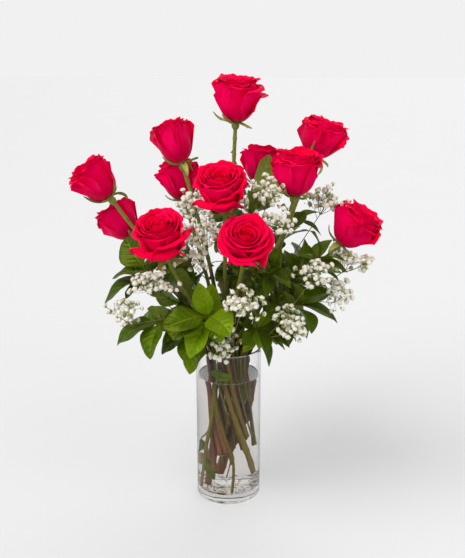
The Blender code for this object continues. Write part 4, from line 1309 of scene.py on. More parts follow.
@dataclass
class RoseHead:
    """A rose's head: petals wound about a heart by the golden angle, each a thin rolled sheet."""
    rose: Rose
    number: int
    petals: int = 29
    across: int = 29
    run: int = 24
    half_thickness: float = 0.00022

    def build(self, finish: Material) -> bpy.types.Object:
        """Make every petal and join them as the head's piece."""
        chance = np.random.default_rng(100 + self.number)
        name = f"rose_{self.number:02d}"
        piece = Piece(name + "_petals", "petal", (name + "_bloom",))
        spin = chance.uniform(0.0, 2 * math.pi)
        wound = self.petals - len(self.rose.guards)
        for index in range(wound):
            turn = spin + index * GOLDEN_ANGLE + chance.normal(0.0, 0.10)
            curl = chance.uniform(0.15, 0.8) ** 1.3
            piece.add(self.petal(index, turn, curl, 1.0 + chance.normal(0.0, 0.015), chance))
        for order, (bearing, curl, length) in enumerate(self.rose.guards):
            piece.add(self.petal(wound + order, math.radians(bearing), curl, length, chance))
        return piece.make(finish)

    def profile(self, depth: float, reach: Array) -> tuple[Array, Array]:
        """Radius and height along a petal, both over the head's own.

        The profile is the Catmull-Rom curve through the keys at this depth; past its end a
        petal goes straight on.
        """
        keys = SHUT_PROFILES + (OPEN_PROFILES - SHUT_PROFILES) * self.rose.openness
        at_depth = np.array([[np.interp(depth, PETAL_DEPTHS, keys[:, step, axis])
                              for axis in range(2)] for step in range(keys.shape[1])])
        curve = catmull_rom(at_depth, np.clip(reach, 0.0, 1.0))
        ends = catmull_rom(at_depth, np.array([0.96, 1.0]))
        over = np.clip(reach - 1.0, 0.0, None)[..., None]
        curve = curve + over * (ends[1] - ends[0]) / 0.04
        return curve[..., 0], curve[..., 1]

    def petal(self, index: int, turn: float, curl: float, length: float,
              chance: Chance) -> Skin:
        """One petal.

        Its middle surface is the profile at its depth, swept round the head's axis by up to
        its half width. The outline's top drops towards the sides and has a small point. One
        side tucks under its neighbour. Towards the rim the sheet turns outwards without
        stretching, more at the sides than in the middle, and waves run round it.

        Args:
            index: the petal's number from the heart out.
            turn: the angle of its middle round the head.
            curl: how far it turns outwards, in quarter turns at the outermost depth.
            length: its length over the profile's.
            chance: the head's random source.

        Returns:
            The petal as a closed sheet, whose layer is 1 on its back.
        """
        radius, height = self.rose.radius, self.rose.height
        depth = (index / (self.petals - 1)) ** 0.80
        half = np.interp(depth, *HALF_ANGLES)
        half *= chance.uniform(0.92, 1.10)
        lift = chance.normal(0.0, 0.022)
        peak = chance.uniform(0.03, 0.13) * np.interp(depth, *PEAKS)
        ripple = np.interp(depth, *RIPPLES) * chance.uniform(0.5, 1.4)
        lean = chance.normal(0.0, 0.04) * depth
        phase = chance.uniform(0.0, 2 * math.pi, 3)
        skew = chance.choice([-1.0, 1.0]) * chance.uniform(0.1, 0.5)
        tint = 0.70 * depth + 0.30 * chance.uniform()

        fine = 1.0 if depth > 0.55 else 0.75
        side, run = np.meshgrid(np.linspace(-1, 1, int(self.across * fine)),
                                np.linspace(0, 1, int(self.run * fine)) ** 0.75, indexing="ij")
        fall = np.interp(depth, *FALLS) * np.abs(side) ** 2.4
        top = 1.0 - fall + peak * np.exp(-(side / 0.16) ** 2)
        along = run * top
        out, up = self.profile(depth, along * length)
        out, up = out * radius, up * height
        late = np.interp(depth, *CURLS)
        hinge = np.clip(0.87 - 0.15 * curl * late, 0.56, 0.87)
        bend = 0.5 * math.pi * curl * late * np.clip((along - hinge) / (1 - hinge), 0, 1.1) ** 1.2
        bend *= 1.0 + skew * side - 0.25 * np.exp(-(side / 0.35) ** 2)
        flank = np.clip((np.abs(side) - 0.62) / 0.38, 0, 1) ** 2 * np.clip((run - 0.4) / 0.4, 0, 1)
        bend += 0.42 * late * flank * (0.5 + curl)
        bend[:, 1:] = 0.5 * (bend[:, 1:] + bend[:, :-1])
        step_out, step_up = np.diff(out, axis=1), np.diff(up, axis=1)
        cosine, sine = np.cos(bend[:, 1:]), np.sin(bend[:, 1:])
        out[:, 1:] = out[:, :1] + np.cumsum(step_out * cosine + step_up * sine, axis=1)
        up[:, 1:] = up[:, :1] + np.cumsum(step_up * cosine - step_out * sine, axis=1)

        angle = turn + side * half * (0.75 + 0.25 * np.sin(0.5 * math.pi * run))
        tuck = 0.030 * radius * np.interp(depth, *TUCKS)
        out -= side * tuck * np.clip(run * 2, 0, 1)
        sweep = side * half
        wave = sum(high * np.sin(often * sweep + start)
                   for (often, high), start in zip(WAVES, phase))
        crinkle = np.sin(11.0 * side + phase[1]) + 0.8 * np.sin(19.0 * side + phase[2])
        out += radius * ripple * (wave * run**3 + 0.35 * crinkle * run**8)
        dip = 0.7 * np.sin(3.1 * sweep + phase[1]) + 0.3 * np.sin(15.0 * side + phase[0]) * run**6
        up += height * (lift + ripple * dip) * run**2
        up += lean * radius * side
        first, second, facing = flower_axes(self.rose)
        base = np.array(self.rose.centre) - facing * height / 2
        middle = (base + (out * np.cos(angle))[..., None] * first
                  + (out * np.sin(angle))[..., None] * second + up[..., None] * facing)
        return sheet_skin(middle, self.half_thickness * (1.6 - 0.6 * run), tint)


class Carriage(Enum):
    """How a sepal is carried: (out, up) in millimetres from the head's foot, along the sepal."""
    HUGGING = ((4.5, -2.5), (12.0, -1.5), (20.0, 4.0), (26.0, 13.0), (29.5, 24.0))
    LEVEL = ((4.5, -2.5), (13.0, -3.0), (22.0, -1.5), (30.0, 2.5), (35.0, 9.0))
    DROOPING = ((4.5, -2.5), (12.0, -4.0), (19.0, -8.0), (24.0, -14.5), (24.5, -22.0))


@dataclass
class RoseCalyx:
    """The hip under a head with five long sepals, each folded along its middle, with side tips."""
    rose: Rose
    number: int
    hip: tuple[tuple[float, float], ...] = ((2.6, -14.5), (3.1, -13.2), (4.6, -11.2), (5.7, -8.4),
                                            (5.9, -6.0), (5.2, -3.6), (4.9, -1.6), (5.6, 0.6),
                                            (4.2, 2.4))
    usual_radius: float = 0.0335
    half_width: float = 0.0050
    half_thickness: float = 0.00036
    bare_share: float = 0.45

    def build(self, finish: Material) -> bpy.types.Object:
        """Make the hip and the sepals as one piece."""
        chance = np.random.default_rng(300 + self.number)
        name = f"rose_{self.number:02d}"
        piece = Piece(name + "_sepals", "sepal", (name + "_calyx",))
        first, second, facing = flower_axes(self.rose)
        base = np.array(self.rose.centre) - facing * self.rose.height / 2
        piece.add(self.hip_skin(base, first, second, facing))
        carriages = list(Carriage)
        for index in range(5):
            turn = (index + chance.uniform(-0.12, 0.12)) * 2 * math.pi / 5 + self.rose.turn
            outward = math.cos(turn) * first + math.sin(turn) * second
            main = carriages[int(chance.integers(3))]
            other = carriages[int(chance.integers(3))]
            share = chance.uniform(0.0, 0.5)
            keys = np.array(main.value) * (1 - share) + np.array(other.value) * share
            keys *= (self.rose.radius / self.usual_radius) * chance.uniform(0.85, 1.1) * MILLIMETRE
            piece.add(*self.sepal(base, outward, facing, keys, chance))
        return piece.make(finish)

    def hip_skin(self, base: Array, first: Array, second: Array, facing: Array) -> Skin:
        """The hip: its profile turned about the head's axis on a smooth curve."""
        profile = smooth_path(np.array(self.hip), 22) * MILLIMETRE
        rings = (base + profile[:, :1, None] * unit_ring(first, second, 20)
                 + profile[:, 1, None, None] * facing)
        return loft_skin(rings, layer=0.0, tint=0.3)

    def sepal(self, base: Array, outward: Array, facing: Array, keys: Array,
              chance: Chance) -> list[Skin]:
        """One sepal and its two thin side tips.

        The midrib is a smooth curve through the keys, bent aside a little; the half width
        rises from the hip to its full value in the first third and dwindles to a long tip.
        The sides lift, so the section is a shallow V.
        """
        run = np.linspace(0.0, 1.0, 20)
        spine = smooth_path(keys, 20)
        aside = np.cross(facing, outward)
        bend = chance.normal(0.0, 0.004) * run**2
        middle = (base + spine[:, :1] * outward + spine[:, 1:] * facing + bend[:, None] * aside)
        tangent = unit_rows(np.gradient(middle, axis=0))
        across = unit_rows(aside - tangent * (tangent @ aside)[:, None])
        above = np.cross(tangent, across)
        width = self.half_width * (0.75 + 1.1 * run) * (1.0 - run) ** 0.85 + 0.00035
        side = np.linspace(-1.0, 1.0, 9)[:, None, None]
        twist = chance.normal(0.0, 0.5) * run[None, :, None]
        reach = side * width[None, :, None]
        sheet = (middle[None] + reach * (np.cos(twist) * across[None] + np.sin(twist) * above[None])
                 + np.abs(reach) * 0.42 * above[None])
        tint = chance.uniform()
        skins = [sheet_skin(sheet[::-1], self.half_thickness, tint)]
        for sign in (-1.0, 1.0):
            if chance.uniform() < self.bare_share:
                continue
            start = int(chance.integers(8, 12))
            tip = (middle[start] + across[start] * sign * 0.0055 + tangent[start] * 0.0065
                   + above[start] * 0.001)
            path = smooth_path(np.array([middle[start] + across[start] * sign * 0.001,
                                         0.5 * (middle[start] + tip) + tangent[start] * -0.0008,
                                         tip]), 7)
            skins.append(rod_skin(path, np.linspace(0.0007, 0.00018, 7), 6, 0.0, tint))
        return skins


@dataclass
class RoseCane:
    """A rose's cane: a slightly knobbly rod with a cut foot, nodes and small hooked thorns.

    It narrows on its way up, and is thicker low in the water by the soaked share.
    """
    number: int
    path: Array
    radius: float = ROSE_STEM * 1.18
    sides: int = 14
    node_spacing: float = 0.030
    thorn_spacing: float = 0.019
    thorn_length: float = 0.0048
    lowest_thorn: float = VASE_HEIGHT + 0.03
    narrowing: float = 0.16
    soaked: float = 0.42
    flakes: int = 18

    def build(self, finish: Material) -> bpy.types.Object:
        """Make the cane and its thorns as one piece."""
        chance = np.random.default_rng(500 + self.number)
        name = f"rose_{self.number:02d}"
        piece = Piece(name + "_cane", "rose_stem", (name + "_stem",))
        steps = np.linalg.norm(np.diff(self.path, axis=0), axis=1)
        travel = np.concatenate([[0.0], np.cumsum(steps)])
        swelling = self.nodes_at(travel, chance)
        slender = 1.0 - self.narrowing * travel / travel[-1]
        soaked = self.soaked * np.clip((0.18 - self.path[:, 2]) / 0.12, 0, 1)
        radius = self.radius * (slender + soaked)
        rings = rod_rings(self.path, radius * (1.0 + swelling), self.sides)
        piece.add(loft_skin(rings, 0.0, chance.uniform(), travel / travel[-1]))
        for _ in range(self.flakes):
            piece.add(self.flake(chance))
        for index in range(3, int(travel[-1] / self.thorn_spacing)):
            where = index * self.thorn_spacing + chance.uniform(-0.004, 0.004)
            place = int(np.searchsorted(travel, where))
            if self.path[place, 2] > self.lowest_thorn and place < len(self.path) - 8:
                piece.add(self.thorn(place, rings[place], index, chance))
        return piece.make(finish)

    def flake(self, chance: Chance) -> Skin:
        """A crumb of bark that has come off the cane and lies on the vase's floor."""
        spread, turn = 0.044 * math.sqrt(chance.uniform()), chance.uniform(0.0, 2 * math.pi)
        size = chance.uniform(0.0008, 0.0046)
        start = np.array([spread * math.cos(turn), spread * math.sin(turn), FOOT + 0.0008])
        way = chance.uniform(0.0, math.pi)
        end = start + size * np.array([math.cos(way), math.sin(way), 0.1])
        rings = rod_rings(np.array([start, (start + end) / 2, end]), np.array([3, 6, 3]) * 1e-4, 5)
        return loft_skin(rings, 0.0, chance.uniform(), np.full(3, 0.4))

    def nodes_at(self, travel: Array, chance: Chance) -> Array:
        """How much thicker the cane is along its length: a bulge at each node, and slight waves."""
        swelling = 0.03 * np.sin(travel * 310.0 + chance.uniform(0, 6)) * np.sin(travel * 127.0)
        for node in np.arange(0.018, travel[-1], self.node_spacing):
            centre = node + chance.uniform(-0.006, 0.006)
            swelling = swelling + 0.20 * np.exp(-((travel - centre) / 0.0022) ** 2)
        return swelling

    def thorn(self, place: int, ring: Array, index: int, chance: Chance) -> Skin:
        """A thorn: an oval cone that leaves the bark squarely and hooks down the cane."""
        middle = ring.mean(axis=0)
        outward = unit(ring[(index * 5) % self.sides] - middle)
        down = unit(self.path[place - 1] - self.path[place])
        aside = np.cross(outward, down)
        t = np.linspace(0.0, 1.0, 6)
        length = self.thorn_length * chance.uniform(0.6, 1.1)
        spine = (middle + outward * (self.radius * 0.8 + length * t[:, None])
                 + down * (0.0022 * t[:, None] ** 2))
        cosine, sine = ring_turns(8)
        size = (1.0 - t) ** 1.15 + 0.05
        rings = (spine[:, None] + size[:, None, None] * (0.0026 * cosine[None, :, None] * -down
                                                         + 0.0012 * sine[None, :, None] * aside))
        return loft_skin(rings, 1.0, chance.uniform(), np.full(6, 0.9))


# ---- greens ----
@dataclass(frozen=True)
class LeafHabit:
    """How one kind of leaf is shaped beyond its outline."""
    across: int
    run: int
    groove: float
    pucker: float
    veins: float
    slope: float
    wave: float
    teeth: int
    tooth: float
    half_thickness: float = 0.00016


class Greens(Enum):
    """The two kinds of greens, with how their leaves are shaped."""
    SALAL = LeafHabit(23, 46, 0.0009, 0.00055, 7.0, 1.6, 0.0022, 34, 0.020)
    RUSCUS = LeafHabit(15, 34, 0.0006, 0.00012, 1.0, 0.0, 0.0010, 0, 0.0)


def leaf_tint(leaf: Leaf, luck: float) -> float:
    """How bright a leaf is, from 0 to 1: by luck, with painted light low at the front left and painted
    shade high up.
    """
    x, y, z = leaf.base
    low = np.clip((0.36 - z) / 0.08, 0, 1) * np.clip(-y / 0.06, 0, 1)
    sunny = 0.35 * low * np.clip((0.03 - x) / 0.06, 0, 1)
    shaded = 0.65 * np.clip((z - 0.33) / 0.05, 0, 1)
    return (luck * (1 - sunny) + sunny) * (1.0 - shaded)


@dataclass
class LeafySpray:
    """One stem of greens with its leaves, each a thin sheet with a rib along its underside."""
    kind: Greens
    number: int
    path: Array
    leaves: list[Leaf]
    shoots: list[tuple[float, Array]]
    stem_radius: float = GREEN_STEM * 1.15
    rib_radius: float = 0.00075

    def build(self, finish: Material) -> bpy.types.Object:
        """Make the stem and the leaves as one piece."""
        chance = np.random.default_rng(700 + 40 * len(self.kind.name) + self.number)
        name = self.kind.name.lower()
        slot = "broad_leaf" if self.kind is Greens.SALAL else "narrow_leaf"
        piece = Piece(f"{name}_spray_{self.number}", slot, (f"{name}_{self.number}",))
        taper = np.interp(np.linspace(0, 1, len(self.path)), [0.0, 0.5, 1.0], [1.0, 0.95, 0.55])
        piece.add(rod_skin(self.path, self.stem_radius * taper, 9, 0.5, 0.4))
        for radius, keys in self.shoots:
            knobs = 1.0 + 0.22 * np.sin(np.linspace(0.0, 5.0 * len(keys), 40)) ** 8
            piece.add(rod_skin(smooth_path(keys, 40), radius * knobs, 9, 0.5, chance.uniform()))
        for leaf in self.leaves:
            piece.add(*self.leaf_skins(leaf, chance))
        return piece.make(finish)

    def leaf_skins(self, leaf: Leaf, chance: Chance) -> list[Skin]:
        """A leaf's blade and rib.

        The blade is the leaf's own surface with a groove along the midrib, a pucker between
        the side veins, a slow wave along each edge, a little twist, and fine teeth.
        """
        habit = self.kind.value
        tint = leaf_tint(leaf, chance.uniform())
        phase = chance.uniform(0, 2 * math.pi, 2)
        side = np.linspace(-1.0, 1.0, habit.across)[:, None]
        run = np.linspace(0.02, 0.998, habit.run)[None]
        blade = np.clip((run - leaf.stalk) / (1.0 - leaf.stalk), 0.0, 1.0)
        flat = leaf.width(run)
        saw = habit.tooth * ((habit.teeth * blade) % 1.0) * np.abs(side) ** 12
        points = leaf.surface(side * (1.0 + saw) + 0.0 * run, run)
        across = unit(np.cross(leaf.along, leaf.normal))
        points = points + (side * 0.0003)[..., None] * across
        spread = np.clip(blade * 6.0, 0.0, 1.0) * np.clip((1.0 - blade) * 5.0, 0.0, 1.0)
        lift = -habit.groove * np.exp(-(side * flat / 0.0016) ** 2)
        ridge = np.cos(2 * math.pi * (run * habit.veins - np.abs(side) * habit.slope))
        lift = lift - habit.pucker * ridge * np.clip(1.15 - np.abs(side), 0, 1)
        sweep = np.sin(run * chance.uniform(7.0, 12.0) + np.where(side > 0, phase[0], phase[1]))
        lift = lift + habit.wave * sweep * np.abs(side) ** 2.5
        twist = chance.normal(0.0, 0.22)
        lift = lift * spread + side * flat * twist * run
        tip = chance.normal(0.0, 0.004) * run**3
        points = points + (lift[..., None]) * leaf.normal + tip[..., None] * across
        skins = [sheet_skin(points, habit.half_thickness, tint)]
        centre = points[habit.across // 2]
        count = int(habit.run * 0.8)
        taper = np.linspace(1.0, 0.18, count)
        below = centre[:count] - leaf.normal * (0.0003 * taper)[:, None]
        start = leaf.base - leaf.along * 0.0006
        path = np.vstack([start, below[::2]])
        size = np.concatenate([[1.0], taper[::2]]) * self.rib_radius
        skins.append(rod_skin(path, size, 7, 0.5, tint))
        return skins


BEFORE_GLASS = (0.045, -0.040, 0.276)
CUT_BACK = (0.66, 0.85)


def clear_of_glass(leaf: Leaf) -> Leaf:
    """The same leaf, but grown shorter where it would hang down in front of the vase."""
    x, y, z = leaf.surface(np.zeros(1), np.ones(1))[0]
    width, front, top = BEFORE_GLASS
    if abs(x) > width or y > front or z > top:
        return leaf
    shorter, narrower = CUT_BACK
    return replace(leaf, length=leaf.length * shorter, half_width=leaf.half_width * narrower)


def dipped(spray: int) -> tuple[list[Leaf], list[tuple[float, Array]]]:
    """The leaves and cut side shoots that a spray, numbered from 0, has in the water."""
    leaves = []
    for owner, base, along, length, half_width in DIPPED_LEAVES:
        if owner == spray:
            along = unit(along)
            normal = square_to(along, 0.8 * UP + np.array([0.0, -0.6, 0.0]))
            leaves.append(Leaf(np.array(metres(base)), along, normal, metres(length),
                               metres(half_width), 0.8))
    shoots = [(metres(radius), np.array(metres(keys)))
              for owner, radius, keys in DIPPED_SHOOTS if owner == spray]
    return leaves, shoots


# ---- baby's breath ----
def blossom_template(chance: Chance) -> Skin:
    """A double blossom of unit reach that faces +Z: a cup, five outer lobes and an inner frill."""
    sides = 10
    lobe = (np.arange(sides) % 2 == 0).astype(float)
    keys = [(0.10, 0.0, -0.95, 0.0, 0.0), (0.36, 0.0, -0.80, 0.0, 0.0), (0.44, 0.0, -0.36, 0.0, 0.1),
            (0.72, 0.30, 0.00, 0.10, 1.0), (0.56, 0.22, 0.20, 0.04, 1.0),
            (0.72, -0.20, 0.52, -0.10, 1.0), (0.34, -0.14, 0.60, 0.10, 1.0)]
    cosine, sine = ring_turns(sides)
    rings = []
    for radius, more, height, rise, _ in keys:
        jitter = 1.0 + chance.normal(0.0, 0.10, sides) * (radius > 0.5)
        reach = (radius + more * lobe) * jitter
        level = height + rise * lobe + chance.normal(0.0, 0.05, sides) * (radius > 0.5)
        rings.append(np.stack([reach * cosine, reach * sine, level], axis=1))
    skin = loft_skin(np.array(rings))
    layers = np.append(np.repeat([key[4] for key in keys], sides), [0.0, 1.0])
    skin.place[:, 2] = layers
    return skin


def bud_template() -> Skin:
    """A closed bud of unit reach that faces +Z."""
    profile = np.array([(0.25, -0.9), (0.75, -0.45), (0.85, 0.1), (0.55, 0.7), (0.15, 1.0)])
    skin = turned_skin(profile, 6)
    skin.place[:, 2] = 0.35 * (skin.points[:, 2] > 0.3)
    return skin


def stamp(template: Skin, centres: Array, facings: Array, sizes: Array,
          chance: Chance) -> Skin:
    """Copies of a template, each turned to face its own way, scaled and moved into place."""
    facings = unit_rows(facings)
    hint = unit_rows(chance.normal(size=facings.shape))
    first = unit_rows(np.cross(hint, facings))
    second = np.cross(facings, first)
    turns = np.stack([first, second, facings], axis=1) * sizes[:, None, None]
    points = np.einsum("pk,nkx->npx", template.points, turns) + centres[:, None]
    count = len(centres)
    offsets = np.arange(count)[:, None, None] * len(template.points)
    faces = np.where(template.faces[None] < 0, -1, template.faces[None] + offsets)
    place = np.tile(template.place, (count, 1))
    place[:, 3] = np.repeat(chance.uniform(size=count), len(template.points))
    return Skin(points.reshape(-1, 3), faces.reshape(-1, 4), place)


@dataclass
class BreathSpray:
    """A stem of baby's breath: side stems, twigs, thin stalks, blossoms and a few buds."""
    number: int
    path: Array
    side: Array
    twigs: list[tuple[Array, Array]]
    blossoms_per_knot: int = 8
    buds_per_knot: int = 3
    reach: tuple[float, float] = (0.006, 0.019)
    blossom_size: tuple[float, float] = (0.0036, 0.0052)
    bud_size: tuple[float, float] = (0.0010, 0.0015)
    stalk_radius: float = 0.00022
    stalk_end: float = 0.0024
    stalk_bow: float = 0.0012
    twig_bow: float = 0.002

    def build(self, petal: Material, twig: Material) -> None:
        """Make the blossoms as one piece and the twigs as another."""
        chance = np.random.default_rng(900 + self.number)
        node = f"gypsophila_{self.number}"
        flowers = Piece(f"{node}_blossoms", "blossom", (node,))
        twigs = Piece(f"{node}_twigs", "narrow_leaf", (node,))
        taper = np.linspace(1.0, 0.5, len(self.path))
        twigs.add(rod_skin(self.path, BREATH_STEM * taper, 8),
                  rod_skin(self.side, BREATH_STEM * 0.62 * np.linspace(1.0, 0.6, len(self.side)), 7))
        templates = [blossom_template(chance) for _ in range(3)]
        spots, ways, starts = [], [], []
        for root, knot in self.twigs:
            along = unit(knot - root)
            bow = square_to(along, UP) * -self.twig_bow
            path = smooth_path(np.array([root, 0.5 * (root + knot) + bow, knot]), 9)
            twigs.add(rod_skin(path, np.linspace(0.00052, 0.00030, 9), 6))
            ends, facings = self.scatter(knot, along, chance)
            spots.append(ends)
            ways.append(facings)
            starts.append(path[chance.integers(5, 9, len(ends))])
        centres, facings = np.concatenate(spots), np.concatenate(ways)
        sources = np.concatenate(starts)
        is_bud = np.arange(len(centres)) % (self.blossoms_per_knot + self.buds_per_knot)
        is_bud = is_bud >= self.blossoms_per_knot
        self.add_flowers(flowers, centres, facings, is_bud, templates, chance)
        twigs.add(self.stalks(sources, centres - facings * self.stalk_end))
        flowers.make(petal)
        twigs.make(twig)

    def scatter(self, knot: Array, along: Array,
                chance: Chance) -> tuple[Array, Array]:
        """Places for a knot's blossoms, on a ragged ball about it, and the way each one faces."""
        count = self.blossoms_per_knot + self.buds_per_knot
        index = np.arange(count)
        level = 1.0 - 1.65 * (index * 7 % count + 0.5) / count
        turn = index * GOLDEN_ANGLE + chance.uniform(0, 6)
        flat = np.sqrt(1.0 - level**2)
        first = square_to(along, (0.3, 0.2, 1.0))
        second = np.cross(along, first)
        ways = ((flat * np.cos(turn))[:, None] * first + (flat * np.sin(turn))[:, None] * second
                + level[:, None] * along)
        reach = chance.uniform(*self.reach, count)[:, None]
        ends = knot + ways * reach
        facings = unit_rows(ways + 0.35 * UP + chance.normal(0.0, 0.25, ways.shape))
        return ends, facings

    def add_flowers(self, piece: Piece, centres: Array, facings: Array, is_bud: Array,
                    templates: list[Skin], chance: Chance) -> None:
        """Stamp the blossoms from the templates in turn, and the buds."""
        for index, template in enumerate(templates):
            mine = ~is_bud & (np.arange(len(centres)) % len(templates) == index)
            sizes = chance.uniform(*self.blossom_size, int(mine.sum()))
            piece.add(stamp(template, centres[mine], facings[mine], sizes, chance))
        sizes = chance.uniform(*self.bud_size, int(is_bud.sum()))
        piece.add(stamp(bud_template(), centres[is_bud], facings[is_bud], sizes, chance))

    def stalks(self, starts: Array, ends: Array) -> Skin:
        """Every stalk at once: three-sided closed rods that bow a little on their way."""
        steps = np.linspace(0.0, 1.0, 5)[:, None]
        path = starts[:, None] + (ends - starts)[:, None] * steps[None]
        path = path + (UP * -self.stalk_bow) * (4 * steps * (1 - steps))[None]
        tangent = unit_rows(ends - starts)
        first = unit_rows(np.cross(tangent, np.array([0.31, 0.52, 0.79])))
        second = np.cross(tangent, first)
        rings = path[:, :, None] + self.stalk_radius * unit_ring(first[:, None], second[:, None], 3)
        return joined([loft_skin(ring) for ring in rings])


# ---- vase and water ----
def outline(radius: Any, height: Any) -> Array:
    """Points of a profile from their radii and heights, either of which may be one number."""
    return np.stack(np.broadcast_arrays(radius, height), axis=1)


def cove_arc(overlap: float = 0.0) -> Array:
    """Radius and height up the rounded corner of the vase's floor, or of what overlaps it."""
    turn = np.linspace(0.0, 0.5 * math.pi, 6)
    reach = COVE + overlap
    return outline(INNER_RADIUS - COVE + reach * np.sin(turn), FOOT + COVE - reach * np.cos(turn))


@dataclass
class Vase:
    """The turned glass cylinder: a thick foot with a soft outer corner, and a rounded rim."""
    sides: int = 128
    heel: float = 0.0030

    def profile(self) -> Array:
        """Radius and height from the middle of the underside round to the middle of the floor."""
        outer, inner, lip, bend = VASE_RADIUS, INNER_RADIUS, WALL / 2, self.heel
        turn = np.linspace(0.0, 0.5 * math.pi, 6)
        heel = outline(outer - bend + bend * np.sin(turn), bend - bend * np.cos(turn))
        arc = np.linspace(0.0, math.pi, 13)
        rim = outline(outer - lip + lip * np.cos(arc), VASE_HEIGHT - lip + lip * np.sin(arc))
        under = np.array([(0.004, 0.0012), (outer * 0.55, 0.0010), (outer - 0.0085, 0.0006),
                          (outer - 0.0055, 0.0)])
        walls = np.linspace(0.0060, VASE_HEIGHT - 0.008, 12)
        outside, inside = outline(outer, walls), outline(inner, walls[::-1] * 0.93 + 0.016)
        floor = np.array([(inner * 0.6, FOOT - 0.0002), (0.004, FOOT - 0.0004)])
        return np.vstack([under, heel, outside, rim, inside, cove_arc()[::-1], floor])

    def build(self, finish: Material) -> bpy.types.Object:
        """Turn the profile about Z."""
        piece = Piece("vase_glass", "clear_glass", ("vase",))
        piece.add(turned_skin(self.profile(), self.sides))
        glass = piece.make(finish, sharp=60.0)
        glass.visible_shadow = False
        return glass


@dataclass
class Water:
    """The water: it meets the glass all round and climbs a little where they touch."""
    sides: int = 128
    overlap: float = 0.00012
    climb: float = 0.0014
    climb_reach: float = 0.0014

    def build(self, finish: Material) -> bpy.types.Object:
        """Turn the profile: floor, cove, wall, then the meniscus and the level top."""
        radius = INNER_RADIUS + self.overlap
        floor = FOOT - self.overlap
        wall = outline(radius, np.linspace(0.03, WATER_TOP, 6))
        away = np.linspace(0.0, 0.006, 7)
        skirt = outline(radius - away, WATER_TOP + self.climb * np.exp(-away / self.climb_reach))
        under = np.array([(0.004, floor - 0.0004), (INNER_RADIUS * 0.6, floor - 0.0002)])
        top = np.array([(INNER_RADIUS * 0.6, WATER_TOP), (0.004, WATER_TOP)])
        piece = Piece("water_body", "water", ("water",))
        piece.add(turned_skin(np.vstack([under, cove_arc(self.overlap), wall, skirt, top]), self.sides))
        body = piece.make(finish, sharp=60.0)
        body.visible_shadow = False
        return body


# ---- studio ----
@dataclass(frozen=True)
class Lamp:
    """One soft far light: where it shines from, its width in degrees and its strength."""
    name: str
    place: Triple
    width: float
    strength: float


@dataclass
class Studio:
    """A pale floor, soft lights and the camera."""
    eye: Triple = (0.0064, -1.1523, 0.6738)
    pitch: float = 15.36
    lens: float = 50.54
    floor_reach: float = 40.0
    backdrop: float = 0.88
    room: float = 0.47
    reflected: float = 0.40
    lamps: tuple[Lamp, ...] = (
        Lamp("key", (-1.0, -0.8, 1.35), 54.0, 2.5),
        Lamp("fill", (1.2, -1.0, 0.8), 60.0, 0.72),
        Lamp("rim", (0.3, 1.3, 1.3), 60.0, 0.7),
    )

    def build(self, floor_finish: Material) -> None:
        """Set the floor, the lights, the sky and the camera."""
        self.add_floor(floor_finish)
        for lamp in self.lamps:
            self.add_lamp(lamp)
        self.add_sky()
        self.add_camera()
        bpy.context.scene.view_settings.view_transform = "Standard"

    def add_floor(self, finish: Material) -> None:
        """A wide square of floor under the vase, just below its foot."""
        reach = self.floor_reach
        mesh = bpy.data.meshes.new("studio_floor")
        corners = [(x * reach, y * reach, -GAP) for x, y in ((-1, -1), (1, -1), (1, 1), (-1, 1))]
        mesh.from_pydata(corners, [], [(0, 1, 2, 3)])
        mesh.materials.append(finish)
        floor = stand("studio_floor", mesh)

    def add_lamp(self, lamp: Lamp) -> None:
        """A far light as wide as a soft box, turned to shine on the middle of the floor."""
        light = bpy.data.lights.new(lamp.name, "SUN")
        light.energy = lamp.strength
        light.angle = math.radians(lamp.width)
        obj = stand(lamp.name, light)
        obj.visible_transmission = False
        x, y, z = lamp.place
        obj.rotation_euler = (math.atan2(math.hypot(x, y), z), 0.0, math.atan2(x, -y))

    def add_sky(self) -> None:
        """A white backdrop, seen straight or through glass, in a dimmer room that lights the rest."""
        world = bpy.data.worlds.new("studio_sky")
        bpy.context.scene.world = world
        world.use_nodes = True
        nodes, links = world.node_tree.nodes, world.node_tree.links
        path = nodes.new("ShaderNodeLightPath")
        strength = nodes["Background"].inputs["Strength"]
        nodes["Background"].inputs["Color"].default_value = (1.0, 1.0, 1.0, 1.0)
        for ray, level in (("Is Camera Ray", self.backdrop), ("Is Transmission Ray", self.backdrop),
                           ("Is Glossy Ray", self.reflected)):
            choice = nodes.new("ShaderNodeMapRange")
            links.new(path.outputs[ray], choice.inputs["Value"])
            links.new(choice.outputs["Result"], strength)
            choice.inputs["To Max"].default_value = level
            strength = choice.inputs["To Min"]
        strength.default_value = self.room

    def add_camera(self) -> None:
        """The camera, level and pitched down at the vase."""
        lens = bpy.data.cameras.new("camera")
        lens.lens = self.lens
        lens.clip_start = 0.01
        camera = stand("camera", lens)
        camera.location = self.eye
        camera.rotation_euler = (math.radians(90.0 - self.pitch), 0.0, 0.0)
        bpy.context.scene.camera = camera


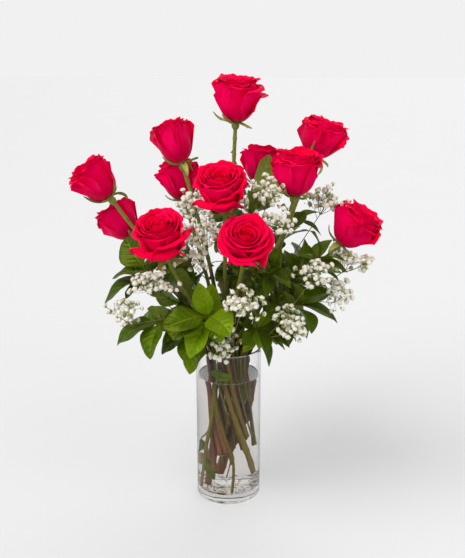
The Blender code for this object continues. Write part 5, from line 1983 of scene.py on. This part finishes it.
# ---- the whole ----
CANE_POINTS = 130
GREEN_POINTS = 70
SIDE_POINTS = 36
GLASS_FINISH = GlassFinish("clear_glass", tint=(0.955, 0.950, 0.945), edge=(0.20, 0.19, 0.20),
                           ior=1.5, ripple_scale=9.0, ripple=0.0006, crest=VASE_HEIGHT - 0.0030)
WATER_FINISH = GlassFinish("water", tint=(0.830, 0.812, 0.788), edge=(0.70, 0.69, 0.67),
                           ior=1.333, ripple_scale=14.0, ripple=0.0002, crest=WATER_TOP - 0.0006)
SALAL_FINISH = LeafFinish("broad_leaf", dark=(0.032, 0.064, 0.001), bright=(0.165, 0.275, 0.003),
                          under=(0.150, 0.200, 0.030), vein=(0.22, 0.31, 0.012),
                          twig=(0.125, 0.090, 0.009), veins=7.0, slope=1.6, roughness=0.24)
RUSCUS_FINISH = LeafFinish("narrow_leaf", dark=(0.036, 0.066, 0.001), bright=(0.140, 0.225, 0.003),
                           under=(0.120, 0.170, 0.020), vein=(0.16, 0.23, 0.008),
                           twig=(0.110, 0.090, 0.009), veins=9.0, slope=0.2, roughness=0.23,
                           vein_strength=0.3)


def main() -> None:
    """Build every sub-assembly in order, then set the studio."""
    logging.basicConfig(level=logging.INFO, format="%(name)s: %(message)s")
    plan = arrange()
    petal, sepal, bark = PetalFinish().make(), SepalFinish().make(), CaneFinish().make()
    for index, rose in enumerate(ROSES):
        RoseHead(rose, index + 1).build(petal)
        RoseCalyx(rose, index + 1).build(sepal)
        RoseCane(index + 1, plan.stem(index, CANE_POINTS)).build(bark)
    finishes = {Greens.SALAL: SALAL_FINISH.make(), Greens.RUSCUS: RUSCUS_FINISH.make()}
    owner = len(ROSES)
    for kind, family in ((Greens.SALAL, SALAL), (Greens.RUSCUS, RUSCUS)):
        for number in range(len(family)):
            leaves, shoots = dipped(owner - len(ROSES))
            leaves += [clear_of_glass(leaf) for leaf in plan.leaves[owner]]
            LeafySpray(kind, number + 1, plan.stem(owner, GREEN_POINTS), leaves,
                       shoots).build(finishes[kind])
            owner += 1
    blossom, twig = BlossomFinish().make(), TwigFinish().make()
    for number in range(len(BREATH)):
        side = smooth_path(plan.sides[owner][BENDS_DRAWN], SIDE_POINTS)
        twigs = plan.twigs[owner][0] + plan.twigs[owner][1]
        BreathSpray(number + 1, plan.stem(owner, GREEN_POINTS), side, twigs).build(blossom, twig)
        owner += 1
    Vase().build(GLASS_FINISH.make())
    Water().build(WATER_FINISH.make())
    Studio().build(FloorFinish().make())


if __name__ == "__main__":
    main()
